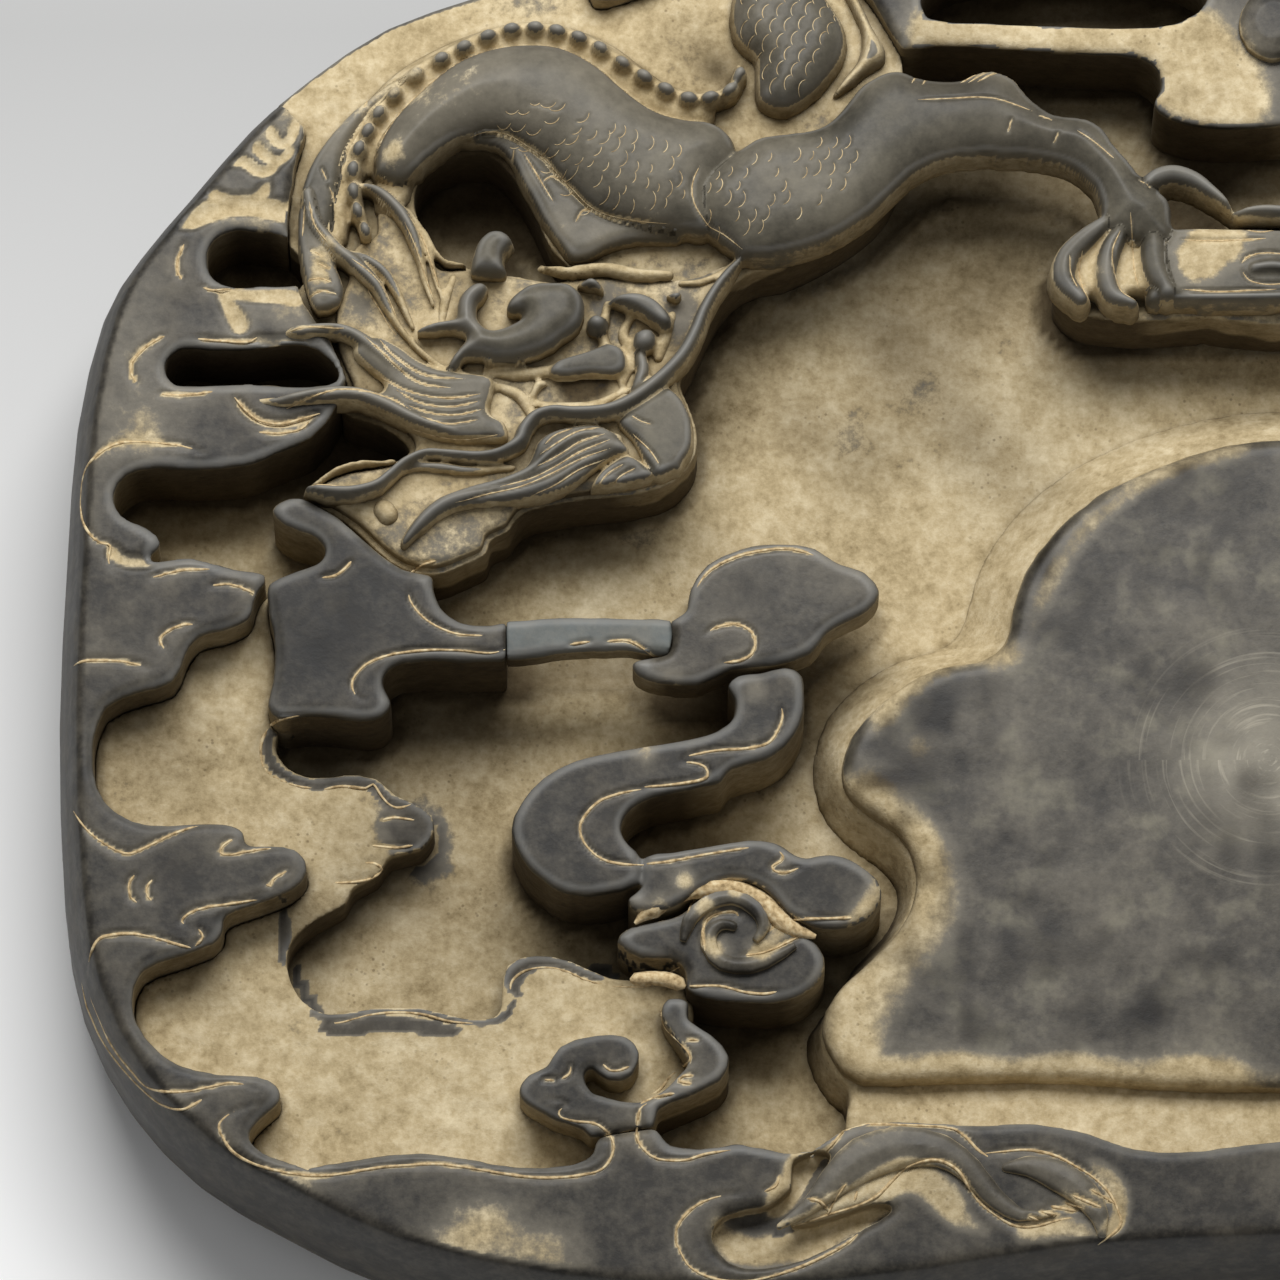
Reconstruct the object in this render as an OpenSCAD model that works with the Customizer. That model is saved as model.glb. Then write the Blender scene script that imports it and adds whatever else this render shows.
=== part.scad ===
// Large carved ink stone with a dragon among clouds round an ink pool and a grinding field.
// Millimetres. X runs along the length, Y towards the dragon's side, Z up from the table.

/* [Stone] */
// Length of the stone
stone_length = 376; // [320:1:440]
// Depth of the stone, from the near side to the dragon's side
stone_depth = 295; // [260:1:340]
// Thickness of the slab under the pools
slab_thickness = 20; // [14:0.5:28]
// Height of the rim above the pool floor
rim_rise = 26; // [22:0.5:32]
// How far the side draws in at the foot
foot_inset = 7; // [4:0.5:10]
// How far the side draws in at the top of the rim
shoulder_inset = 4.6; // [3:0.2:5]
// Width of the worn bevel along the inner edge of the rim
rim_bevel = 1.2; // [0.6:0.1:1.4]

/* [Terrace and pools] */
// Height of the cloud terrace above the pool floor
terrace_rise = 13; // [8:0.5:16]
// Depth of the small hollow in the front rim
hollow_depth = 6; // [3:0.5:10]

/* [Grinding field] */
// Height of the sloping bank above the pool floor
bank_rise = 11; // [7:0.5:14]
// Height of the grinding field above its bank
field_rise = 5.5; // [3.5:0.5:8]
// Width of the worn edge of the grinding field
field_bevel = 2.4; // [1:0.2:3.2]
// Depth of the worn edge of the grinding field
field_drop = 3; // [1:0.2:3.2]

/* [Clouds] */
// Width of the bevel round each cloud
cloud_bevel = 1.5; // [0.6:0.1:1.8]
// Depth of the bevel round each cloud
cloud_drop = 2; // [0.8:0.1:3]
// Thickness of the cloud arm over the pool
arm_thickness = 8; // [6:0.5:11]
// Thickness of the cloud head at the end of the arm
head_thickness = 12; // [9:0.5:15]
// Height of the swirl ridges
swirl_rise = 2.6; // [1.5:0.1:4]
// Height of the waves on the front rim
wave_rise = 2.4; // [1.2:0.1:4]

/* [Dragon] */
// Height of the ground under the dragon above the pool floor
ground_rise = 20; // [16:0.5:22]
// Height of the thickest part of the body above its ground
body_rise = 15; // [11:0.5:19]
// Height of the foreleg above its ground
leg_rise = 14.5; // [11:0.5:18]
// Height of the head above its ground
head_rise = 15; // [11:0.5:18]
// Height of the mass under the head and the mane above the dragon's ground
bed_rise = 3.5; // [2:0.5:5]
// Height of the mane and beard locks above the dragon's ground
lock_rise = 10.5; // [7:0.5:14]
// Height of the plates of the spine above their ridge
plate_rise = 3; // [1.5:0.1:4]
// Diameter of the eye
eye_diameter = 5; // [3:0.1:6]

/* [Hidden] */

slate = "#4a4845";
dusty = "#b89c70";
sheen = "#6f6c68";
bluish = "#7d878b";

// The carving is drawn on a sheet in millimetres, x to the right and y towards the near side.
// Outer edge of the stone, from the middle of the far side and round by the left
outer_marks = [
  [200, -19], [168, -17], [140, -13], [116, -7], [95, 0], [76, 6.8], [60, 17.5], [48, 28],
  [36, 42], [26, 54], [19, 66], [14, 88], [12.2, 115], [11, 148], [12.4, 182], [16.5, 204],
  [26, 222], [40, 236.5], [58, 247], [80, 257], [112, 264], [150, 266], [184, 263],
  [216, 258], [256, 256], [300, 255], [335, 251], [362, 237], [379, 216], [386, 188],
  [387.5, 152], [387, 115], [383, 80], [374, 50], [358, 25], [336, 5], [308, -9], [274, -16],
  [238, -19]
];
// Lower outlines were drawn from a slant, so each level has its own shift towards the far side.
outer_shift = 6.5;
terrace_shift = 3.4;
field_shift = 2.4;

z_floor = slab_thickness;
z_rim = z_floor + rim_rise;
z_terrace = z_floor + terrace_rise;
z_bank = z_floor + bank_rise;
z_field = z_bank + field_rise;
z_ground = z_floor + ground_rise;
z_bed = z_ground + bed_rise;

function lay(p, shift = 0) = [
  (p.x - sheet_middle.x) * stone_length / sheet_size.x,
  (sheet_middle.y - p.y + shift) * stone_depth / sheet_size.y
];
function lay_all(marks, shift = 0) = [for (p = marks) lay(p, shift)];

// Smooth curves through hand-placed marks
function bend(a, b, c, d, t) =
  0.5 * (2 * b + (c - a) * t + (2 * a - 5 * b + 4 * c - d) * t * t
    + (3 * b - a - 3 * c + d) * t * t * t);
function closed_curve(p, n = 2) =
  let (m = len(p))
  [for (i = [0:m - 1]) for (k = [0:n - 1])
    bend(p[(i + m - 1) % m], p[i], p[(i + 1) % m], p[(i + 2) % m], k / n)];
function open_curve(p, n = 2) =
  let (m = len(p))
  concat(
    [for (i = [0:m - 2]) for (k = [0:n - 1])
      bend(p[max(i - 1, 0)], p[i], p[i + 1], p[min(i + 2, m - 1)], k / n)],
    [p[m - 1]]);

// The sheet is scaled and placed by the widest outline of the stone
outer_sheet = closed_curve(outer_marks);
across = [for (p = outer_sheet) p.x];
down = [for (p = outer_sheet) p.y];
sheet_size = [max(across) - min(across), max(down) - min(down)];
sheet_middle = [(max(across) + min(across)) / 2, (max(down) + min(down)) / 2 - outer_shift];

function reversed(list) = [for (i = [len(list) - 1:-1:0]) list[i]];

function turn(a, b, c) = (b.x - a.x) * (c.y - a.y) - (b.y - a.y) * (c.x - a.x);
function area(ring) =
  let (m = len(ring))
  [for (i = 0, s = 0; i <= m; s = i < m ? s + turn([0, 0], ring[i], ring[(i + 1) % m]) : s, i = i + 1) s][m];
function leftward(ring) = area(ring) > 0 ? ring : reversed(ring);

// Inward directions of a ring that runs leftward round its inside
function inwards(ring) =
  let (m = len(ring))
  [for (i = [0:m - 1])
    let (t = ring[(i + 1) % m] - ring[(i + m - 1) % m], u = t / norm(t)) [-u.y, u.x]];
function moved_in(ring, by) =
  let (d = inwards(ring))
  [for (i = [0:len(ring) - 1]) ring[i] + by * d[i]];

// Triangles that fill a flat ring
function holds(p, a, b, c) = turn(a, b, p) >= 0 && turn(b, c, p) >= 0 && turn(c, a, p) >= 0;
function is_ear(ring, left, k) =
  let (n = len(left), a = left[(k + n - 1) % n], b = left[k], c = left[(k + 1) % n])
  turn(ring[a], ring[b], ring[c]) > 0
    && len([for (j = left)
      if (j != a && j != b && j != c && holds(ring[j], ring[a], ring[b], ring[c])) j]) == 0;
function next_ear(ring, left, k = 0) =
  k >= len(left) ? 0 : is_ear(ring, left, k) ? k : next_ear(ring, left, k + 1);
function ears(ring, left) =
  len(left) == 3 ? [left]
  : let (k = next_ear(ring, left), n = len(left))
    concat(
      [[left[(k + n - 1) % n], left[k], left[(k + 1) % n]]],
      ears(ring, [for (j = [0:n - 1]) if (j != k) left[j]]));

// A solid through rings of equal length, each at its own height
module ring_solid(rings, heights) {
  n = len(rings[0]);
  last = len(rings) - 1;
  around = [for (i = [0:n - 1]) i];
  points = [for (i = [0:last]) for (p = rings[i]) [p.x, p.y, heights[i]]];
  faces = concat(
    ears(rings[0], around),
    [for (t = ears(rings[last], around)) [t[2], t[1], t[0]] + last * n * [1, 1, 1]],
    [for (i = [0:last - 1]) for (j = [0:n - 1]) each [
      [i * n + j, (i + 1) * n + j, (i + 1) * n + (j + 1) % n],
      [i * n + j, (i + 1) * n + (j + 1) % n, i * n + (j + 1) % n]]]);
  polyhedron(points, faces, convexity = 10);
}

// A cloud with upright walls and a bevelled top edge
module carved(ring, low, high, bevel, drop) {
  ring_solid(
    [ring, ring, moved_in(ring, bevel * 0.35), moved_in(ring, bevel)],
    [low, high - drop, high - drop * 0.35, high]);
}

// A pool cut with a bevelled lip
module sunk(ring, low, high, bevel) {
  ring_solid(
    [ring, ring, moved_in(ring, -bevel), moved_in(ring, -bevel)],
    [low, high - bevel, high, high + 1]);
}

// Dome sections, as shares of the half width and of the rise
broad_dome = [[-1, 0], [-0.97, 0.4], [-0.72, 0.8], [0, 1], [0.72, 0.8], [0.97, 0.4], [1, 0]];
lock_dome = [[-1, 0], [-0.85, 0.72], [0, 1], [0.85, 0.72], [1, 0]];

// A ridge along marks of x, y, half width and share of the rise
module ridge(marks, low, rise, section, n = 2, shift = 0) {
  line = open_curve(marks, n);
  m = len(line);
  k = len(section);
  centres = [for (s = line) lay(s, shift)];
  points = [for (i = [0:m - 1])
    let (t = centres[min(i + 1, m - 1)] - centres[max(i - 1, 0)], u = t / norm(t))
    for (q = section)
      [centres[i].x - u.y * q.x * line[i][2], centres[i].y + u.x * q.x * line[i][2],
        low + q.y * rise * line[i][3]]];
  faces = concat(
    [for (j = [1:k - 2]) [0, j + 1, j]],
    [for (j = [1:k - 2]) [0, j, j + 1] + (m - 1) * k * [1, 1, 1]],
    [for (i = [0:m - 2]) for (j = [0:k - 1]) each [
      [i * k + j, (i + 1) * k + (j + 1) % k, (i + 1) * k + j],
      [i * k + j, i * k + (j + 1) % k, (i + 1) * k + (j + 1) % k]]]);
  polyhedron(points, faces, convexity = 10);
}

// A domed boss on a ring that can be seen whole from its middle
module boss(ring, low, rise) {
  m = len(ring);
  middle = [for (i = 0, s = [0, 0]; i <= m; s = i < m ? s + ring[i] : s, i = i + 1) s][m] / m;
  shares = [[1, 0], [1, 0.42], [0.86, 0.74], [0.52, 0.94]];
  ring_solid(
    [for (s = shares) [for (p = ring) middle + (p - middle) * s[0]]],
    [for (s = shares) low + rise * s[1]]);
}

outer_curve = closed_curve(lay_all(outer_marks, outer_shift));
outer_in = inwards(outer_curve);
outer_count = len(outer_curve);

// How far the side stands in from the widest line, by its share of the full height
side_profile = [
  [0, foot_inset], [0.13, foot_inset * 0.3], [0.36, 0], [0.65, shoulder_inset * 0.1],
  [0.82, shoulder_inset * 0.38], [0.94, shoulder_inset * 0.72], [1, shoulder_inset]
];
function side_inset(z) = lookup(z / z_rim, side_profile);

// Where the carving was divided along the rim: a place on the outer edge and a depth inwards
far_seam = [6, 12.5];
left_seam = [13, 11];
near_seam = [36, 9.4];
right_seam = [50, 21];
back_seam = [72, 50];
// A seam leaves the outline a little past the outline's own point, so it meets no corner of the side
seam_share = 0.12;
function seam_at(s, depth) =
  let (i = s[0] % outer_count, j = (i + 1) % outer_count)
  (1 - seam_share) * (outer_curve[i] + depth * outer_in[i])
    + seam_share * (outer_curve[j] + depth * outer_in[j]);
function seam_point(s) = seam_at(s, s[1]);

// Ground plan of a length of the rim: past its outer side, then its inner edge from the last seam
plan_spare = 3;
function rim_plan(first, last, inner) = concat(
  [seam_at(first, -plan_spare)],
  [for (i = [first[0] + 1:last[0]])
    outer_curve[i % outer_count] - plan_spare * outer_in[i % outer_count]],
  [seam_at(last, -plan_spare), seam_point(last)], inner, [seam_point(first)]);

// The stone above the pool floor behind a stretch of its outer side, closed by plain corners
module sided_block(first, last, corners) {
  heights = [z_floor, z_rim * 0.65, z_rim * 0.82, z_rim * 0.94, z_rim];
  ring_solid(
    [for (z = heights) concat(
      [for (i = [first - 2:last + 2])
        outer_curve[(i + outer_count) % outer_count]
          + outer_in[(i + outer_count) % outer_count] * side_inset(z)],
      lay_all(corners))],
    heights);
}

// A length of the rim between two seams; flat shapes given to it are cut right through
module rim_length(first, last, inner, top = z_rim + 1, corners = [sheet_middle]) {
  intersection() {
    sided_block(first[0], last[0], corners);
    translate([0, 0, z_floor - 1])
      linear_extrude(top - z_floor + 1)
        difference() {
          polygon(rim_plan(first, last, inner));
          children();
        }
  }
}

// Cuts the worn bevel along an inner edge; the corners close the ring over the pools
module worn_edge(inner, corners) {
  ring = leftward(concat(inner, lay_all(corners)));
  ring_solid([ring, moved_in(ring, -rim_bevel - 0.2)], [z_rim - rim_bevel, z_rim + 0.2]);
}

// Inner edge of the left rim, from the near seam upwards to the scroll pool and the dragon
west_marks = [
  [57.4, 231], [53.4, 229.4], [51, 227.4], [50.6, 225], [53.5, 221.5], [56.3, 219.3], [56, 216.2], [52, 214.3],
  [44, 213.8], [36, 212], [29.5, 206.5], [27, 200], [29, 193.5], [36, 190.6], [43, 188],
  [45, 185], [45.5, 182.4], [52, 180], [58.5, 177.5], [61.6, 173.5], [59.5, 169.4],
  [54, 168.7], [49.2, 168.6], [49, 166], [45, 164.4], [38, 164.4], [30, 164.6], [23.5, 162],
  [19.6, 157], [18.7, 149], [21, 141.2], [28, 138], [34.6, 136], [36.6, 131.5], [39.5, 127],
  [45, 125.6], [49.6, 123.4], [50.6, 120], [51.6, 117.6], [52.8, 116.4]
];
scroll_west_marks = [
  [52.8, 114.4], [46, 113.4], [38, 111.2], [31, 112], [28, 111.2], [31.4, 109.6], [31.6, 107],
  [28, 104.8], [23.8, 102.6], [22.4, 98.5], [24.8, 94.4], [31, 93], [40, 93.4], [49, 92.5],
  [56, 89.6], [62, 87], [65.6, 83.4]
];
divide_marks = [
  [67.6, 80], [69, 75], [65.4, 67], [60.4, 60], [57.8, 51], [57, 42], [58.4, 32]
];
west_edge = open_curve(lay_all(west_marks));
scroll_west_edge = open_curve(lay_all(scroll_west_marks));
divide_edge = open_curve(lay_all(divide_marks));
west_inner = concat(west_edge, scroll_west_edge, divide_edge);

// Inner edge of the near rim, from the right seam to the near seam
south_marks = [
  [287, 228.4], [272, 227.4], [256, 227], [246, 228], [236, 229.2], [226, 228.6], [216, 225.3],
  [206, 223.6], [195, 224], [184, 223.4], [174, 223.4], [167.5, 225.4], [162, 228.8],
  [156, 229.2], [148, 227.6], [140, 228.6], [133.6, 227.8], [131, 224.6], [125, 225.4],
  [119.6, 226.6], [118.8, 229.6], [114, 231.8], [104, 232.2], [94, 230.6], [84, 229.3],
  [74, 230.4], [67, 231.6]
];
south_inner = open_curve(lay_all(south_marks));

// Inner edge of the right rim, from the back seam to the right seam
east_marks = [
  [304, 34], [318, 35], [330, 42], [336, 54], [333, 66], [335, 77], [345, 85], [349, 98],
  [345, 110], [337, 120], [340, 132], [348, 141], [349, 154], [341, 165], [338.5, 176],
  [345, 186], [344, 198], [334, 206], [322, 212], [316, 221], [306, 227.4]
];
east_inner = open_curve(lay_all(east_marks));

// Inner edge of the far rim, from the far seam past the tail to the back seam
divide_far_marks = [
  [121, -1.4], [130, -4.4], [141, -10], [154, -12], [166, -9.6], [174, -3], [178.4, 4], [181, 8.4]
];
north_marks = [
  [186, 7.8], [196, 7.8], [208, 8.8], [220, 9.2], [229, 9.8], [233, 12.6], [233.4, 16.6],
  [231.8, 19.4], [235, 22.2], [242, 24], [252, 24.2], [264, 23.2], [274, 23.8], [282, 26.2]
];
divide_far_edge = open_curve(lay_all(divide_far_marks));
north_edge = open_curve(lay_all(north_marks));
north_inner = concat(divide_far_edge, north_edge);

// Open edge of the dragon's ground, from the scroll pool round to the haunch
ground_marks = [
  [70, 81.8], [76, 83.6], [81, 87], [81, 89.6], [75.6, 91.2], [69, 92.2], [63.5, 94.8],
  [60.6, 98], [65.6, 100.8], [70.6, 104.2], [75, 108.4], [80.6, 112.4], [87, 113.4],
  [92.4, 111.4], [97.2, 109], [97.8, 106.4], [101.6, 104.6], [104, 101.2], [110, 99.4],
  [119, 98], [128, 97], [135, 94.4], [139, 89.4], [139.4, 84], [137.4, 78.4], [136, 74.4],
  [138.4, 69.6], [141.8, 62], [145.6, 56], [150.6, 52.4], [157, 51], [164.4, 47.6],
  [172, 42.8], [178, 37], [181.4, 28], [181.6, 16]
];
ground_inner = concat(
  reversed(divide_edge), open_curve(lay_all(ground_marks)), reversed(divide_far_edge));

slot_high_marks = [
  [59.6, 49.5], [56, 46.3], [50, 45.2], [44.5, 45.2], [41.4, 48], [40.6, 51.5], [42, 55],
  [46.5, 56.8], [52, 56.4], [58, 56.4], [60.4, 53.6]
];
slot_low_marks = [
  [67.6, 74.4], [63.5, 69.6], [58, 68.2], [50, 69.3], [42, 69.3], [35.5, 69], [32.4, 72.4],
  [34.6, 76.4], [42, 76.4], [50, 76.2], [58, 76.8], [65, 76.4]
];
loop_marks = [
  [88, 49.6], [84.4, 44], [82.4, 38.4], [84, 32.6], [90, 29], [97, 28.4], [102, 32.4],
  [106.5, 40], [110, 47.4], [114.8, 52.6], [111, 54.2], [103, 53], [95, 51.6]
];
far_slot_marks = [
  [186, 2], [198, 3], [212, 3.6], [226, 4], [237, 3], [243, -2], [239, -8], [226, -10.6],
  [208, -10.6], [194, -9], [186, -5]
];
front_hollow_marks = [
  [158.4, 230.6], [158, 236.4], [152.6, 240], [145, 241.6], [142, 246], [145.6, 251],
  [152, 252], [161, 250], [170, 245.4], [178.6, 240.4], [174, 239.4], [166, 242],
  [157.6, 243.6], [160.6, 239], [163.6, 234], [166, 229]
];
slot_high = leftward(closed_curve(lay_all(slot_high_marks)));
slot_low = leftward(closed_curve(lay_all(slot_low_marks)));
loop_pool = leftward(closed_curve(lay_all(loop_marks)));
far_slot = leftward(closed_curve(lay_all(far_slot_marks)));
front_hollow = leftward(closed_curve(lay_all(front_hollow_marks)));

// Edge of the cloud terrace above the deep pools, then loosely round under the rims
terrace_marks = [
  [58, 144.6], [55.6, 146.6], [55, 150], [57.4, 153.6], [62, 155.5], [69, 155], [75, 155.6],
  [79, 159], [84.6, 161.6], [87, 165.4], [84, 169.8], [78, 171.2], [75.6, 174.8], [70.6, 177.4],
  [69, 180.8], [63, 184], [58.6, 188], [57.4, 193], [60, 199.4], [65.6, 202.6], [74, 201.5],
  [84, 201.3], [93, 203.4], [99.6, 203], [100.4, 198.6], [101.4, 193], [107, 190.8],
  [114, 192], [122, 195.4], [130, 195.6], [136, 193.6]
];
ruyi_marks = [
  [118.4, 226.2], [116.6, 224.6], [110.5, 222.4], [105.6, 219.6], [104, 217], [106, 214],
  [109.6, 212.4], [112, 208.4], [119, 206.2], [125, 206.4], [128, 209.6], [126.4, 214],
  [121.6, 215], [118.4, 212.6], [116.8, 214.2], [118.6, 217.6], [125, 219.2], [130, 219],
  [135.4, 214.4], [137.6, 211], [134.6, 206.4], [132.2, 202], [133.6, 199], [137.6, 199.6],
  [137.4, 203], [142, 206], [145.8, 210.6], [143.8, 215], [137.6, 218], [131.6, 220.6],
  [130.6, 224.2], [124.6, 225]
];
ruyi_ring = leftward(closed_curve(lay_all(ruyi_marks)));
terrace_loose_marks = [
  [139, 200], [137.4, 203], [142, 206], [145.8, 210.6], [143.8, 215], [137.6, 218],
  [131.6, 220.6], [130.6, 223], [131.6, 232], [100, 240], [60, 238], [40, 225], [22, 205],
  [16, 180], [14, 150], [20, 134], [34, 122], [52.6, 116], [54.4, 117], [60, 130]
];

// Grinding field and the toe of its bank, mark for mark
field_marks = [
  [256, 86.8], [244, 88.5], [232, 92.5], [221, 97.6], [212, 105], [205.4, 113.8],
  [202.6, 122], [201.4, 128], [196.4, 131.4], [188, 132.8], [180, 137], [173, 143],
  [169, 150], [168.6, 156.4], [173, 161.4], [179.4, 165.6], [182.8, 171.5], [183, 178],
  [179.5, 185.5], [173, 192], [166.6, 198.4], [164.2, 204.4], [166.6, 211], [172, 215.6],
  [186, 215.4], [200, 215.2], [214, 215.2], [232, 216.6], [256, 217], [280, 216.5],
  [300, 214], [315, 207.4], [325, 196], [328, 181], [324.6, 169], [319.6, 160],
  [321.6, 149], [325.4, 136], [324, 121], [317, 108.6], [305, 98.4], [290, 91.2],
  [272, 87.6]
];
toe_marks = [
  [256, 76], [242, 77.6], [227, 82], [214, 88.4], [203.4, 97], [196, 107.4],
  [193, 116.6], [191, 122], [186.4, 125.2], [179, 127.4], [171.4, 131.8], [165, 138.6],
  [162, 147.4], [163, 157.6], [168.4, 165.4], [174.4, 169.6], [178.4, 173.4], [179, 178],
  [175.8, 183.6], [170.4, 189.4], [167.4, 196], [160.8, 203.4], [162.6, 213], [170, 220.4],
  [186, 220.6], [200, 220.6], [214, 221], [232, 222.6], [256, 222.6], [280, 222],
  [301, 219], [318, 209.6], [331, 198], [335, 183], [332.4, 170], [328.6, 160.4],
  [330.4, 150.6], [332.6, 137], [331, 118.4], [323.4, 104], [309.4, 91.6], [292, 82],
  [273, 77]
];
field_ring = leftward(closed_curve(lay_all(field_marks, field_shift)));
toe_ring = leftward(closed_curve(lay_all(toe_marks, field_shift)));
trough_marks = [
  [170, 213], [168.6, 222.4], [172, 232], [220, 236], [300, 236], [306, 218], [300, 212]
];

// Clouds that stand in the pools
west_cloud_marks = [
  [53.6, 116.4], [53.6, 121], [55, 129], [54.6, 136], [53.6, 140.6], [56, 143.4], [61, 142.8],
  [67, 143.1], [72.5, 143.7], [76.6, 143], [78.4, 140.2], [76.8, 137.4], [77, 134.4],
  [80.4, 132.2], [87, 131.7], [95, 132], [104, 131.4], [106, 127.6], [104, 123.6],
  [98, 124.7], [92, 124], [88, 121], [86.6, 117], [86.2, 114.6], [80.4, 113.4],
  [74.5, 109.2], [70, 105], [65.2, 101.6], [60, 99], [56, 99.8], [54.2, 101.8], [56.6, 104.6],
  [62, 106.6], [64.9, 109.2], [63.6, 112.2], [58.6, 114]
];
arm_marks = [
  [98, 124.5], [104, 123.6], [112, 123.1], [120, 123.1], [128, 123.3], [136, 123.8],
  [141, 127], [136, 131], [126, 129.8], [118, 129.9], [110, 130.5], [98, 131.8], [95, 128]
];
// Where the broken arm was joined again
arm_joint = 101.3;
head_cloud_marks = [
  [134.2, 123.8], [137.4, 121.6], [138, 117.4], [141.6, 112.4], [148, 109.3], [156, 108.2],
  [163, 109.2], [167.6, 112.2], [173, 114], [176, 118], [173.4, 121.8], [168, 124.5],
  [165, 126.6], [162, 130.2], [154.6, 132.6], [146.4, 133.4], [139.6, 136.6], [132, 136.2],
  [127.4, 134.4], [126.6, 132], [130, 131.2], [133.6, 130.4], [134.4, 127]
];
stem_marks = [
  [144, 117], [152, 114], [160, 116], [163, 121], [159, 127], [152, 130], [144, 129], [141, 123]
];
scroll_cloud_marks = [
  [152, 134.2], [157, 133], [160.2, 134.6], [160.9, 139], [160, 144.4], [156.8, 149],
  [151.6, 151.8], [146, 153.4], [144, 155.8], [138, 157.4], [130.6, 159], [125.8, 161.6],
  [124.2, 165.4], [126, 168.6], [128, 170.8], [127.6, 176], [120.6, 178.2], [113.6, 178.2],
  [108, 175], [104, 170.4], [102.4, 165.4], [104.2, 160], [108.6, 155], [115, 151.6],
  [122, 150], [130, 148.6], [137.6, 147.4], [143.4, 145.8], [146.8, 142.8], [147, 139.4],
  [145.4, 136.8], [147.6, 134.6]
];
lobe_cloud_marks = [
  [129, 170.8], [134.6, 169.8], [141.6, 168.6], [149.6, 167.4], [155, 168], [158.4, 170.2],
  [161.4, 171], [166, 170.2], [171.4, 172], [175.2, 175.4], [176, 179.4], [173, 183.4],
  [167.4, 185], [161, 184], [157, 181.8], [153.6, 177.6], [148.6, 175.4], [143, 175.8],
  [138, 178.6], [133.6, 181], [127.4, 181.6], [125.4, 179.2], [128.6, 176.6]
];
swirl_cloud_marks = [
  [123.4, 187], [126, 184.2], [131, 183], [136.4, 181.6], [140, 178.6], [145, 176.5],
  [150, 177.4], [153.8, 180.6], [157, 184], [161.6, 186], [164.8, 190], [164, 194.4],
  [160, 197.8], [154.6, 199.3], [147.6, 199.2], [141, 198.4], [137.4, 196.4], [137, 192.6],
  [134, 190.4], [128.4, 190.2]
];
swirl_outer_marks = [
  [136.6, 187.6, 0.8, 0.6], [137.8, 183.4, 1.4, 0.9], [141.4, 180, 1.7, 1],
  [146.4, 178.8, 1.6, 1], [151, 181, 1.5, 1], [152.6, 184.6, 1.3, 0.9], [150.8, 187.4, 0.8, 0.7]
];
swirl_inner_marks = [
  [147.2, 184.6, 0.8, 0.7], [144.2, 184, 1.2, 0.9], [141.6, 186.4, 1.6, 1],
  [142.6, 190.4, 1.7, 1], [147, 192.4, 1.7, 1], [153, 191.4, 1.5, 0.9], [159, 188.2, 0.8, 0.6]
];
west_cloud = leftward(closed_curve(lay_all(west_cloud_marks)));
arm_ring = leftward(closed_curve(lay_all(arm_marks)));
head_cloud = leftward(closed_curve(lay_all(head_cloud_marks)));
stem_ring = leftward(closed_curve(lay_all(stem_marks)));
scroll_cloud = leftward(closed_curve(lay_all(scroll_cloud_marks)));
lobe_cloud = leftward(closed_curve(lay_all(lobe_cloud_marks)));
swirl_cloud = leftward(closed_curve(lay_all(swirl_cloud_marks)));
knob_marks = [
  [249, 4], [251, -1], [256, -3.6], [261, -1.4], [263.4, 3.6], [261, 9], [255.6, 11.4], [250.6, 9]
];
rock_marks = [
  [213, 50], [218, 46], [227, 43.6], [240, 45], [256, 44], [270, 46], [277, 52], [271, 60],
  [256, 63], [242, 61.4], [228, 62.4], [217, 61], [211.6, 56.4]
];

// Waves on the near rim: x, y, half width, share of the rise
wave_left_marks = [
  [155, 244.4, 0.6, 0.5], [161, 240.6, 1.6, 0.8], [166.4, 235.4, 3.2, 1], [172.4, 230.8, 4.6, 1],
  [180, 228.6, 4.4, 1], [187.6, 229.4, 3.4, 1], [193.6, 233.4, 2.6, 0.9],
  [198, 238.4, 2, 0.8], [203.6, 242, 1.4, 0.7], [210, 241.4, 0.7, 0.5]
];
wave_right_marks = [
  [199.6, 232.6, 0.7, 0.5], [205, 232.4, 2.2, 0.8], [210.8, 234.2, 3.2, 1],
  [216, 237.8, 3, 1], [219, 242.4, 2, 0.8], [219.4, 246.4, 0.8, 0.5]
];

// The dragon: x, y, half width, share of the rise
body_marks = [
  [77.4, 34, 4.2, 0.72], [80, 27.4, 5.2, 0.88], [86.4, 20.4, 6.4, 0.95], [96, 16, 8.2, 1],
  [106, 15.8, 9.4, 1], [115, 20.6, 10.4, 1], [123, 28, 11.2, 1], [131, 33.6, 11, 0.95],
  [139, 37.4, 8.6, 0.8]
];
back_marks = [
  [62.4, 58, 1.6, 0.6], [62.6, 50, 3, 0.75], [62.6, 41, 3.8, 0.82], [64.2, 32, 3.4, 0.85],
  [68, 24.6, 2.9, 0.88], [74.6, 15.8, 2.4, 0.9], [82.6, 9, 2, 0.9], [91.6, 3.8, 1.7, 0.9],
  [101.6, 0.6, 1.9, 0.9], [112, 0.6, 2, 0.88], [120.6, 4, 1.9, 0.85], [130.6, 9.4, 1.7, 0.8],
  [139, 12.6, 1.2, 0.7]
];
spine_marks = [
  [72.4, 44], [70.6, 38], [70.8, 31], [73.2, 24], [78.6, 17], [86, 10.6], [94, 6.2],
  [103, 4.2], [112, 4.8], [120, 8.4], [128, 12.8], [135, 17.2], [142, 18.4], [147.6, 15.6]
];
belly_marks = [
  [94.6, 27.4], [99.6, 26.6], [104, 28.2], [108, 31.8], [111.6, 36], [115.6, 40.2],
  [120.4, 43.4], [126, 45], [131.6, 45.4]
];
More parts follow.
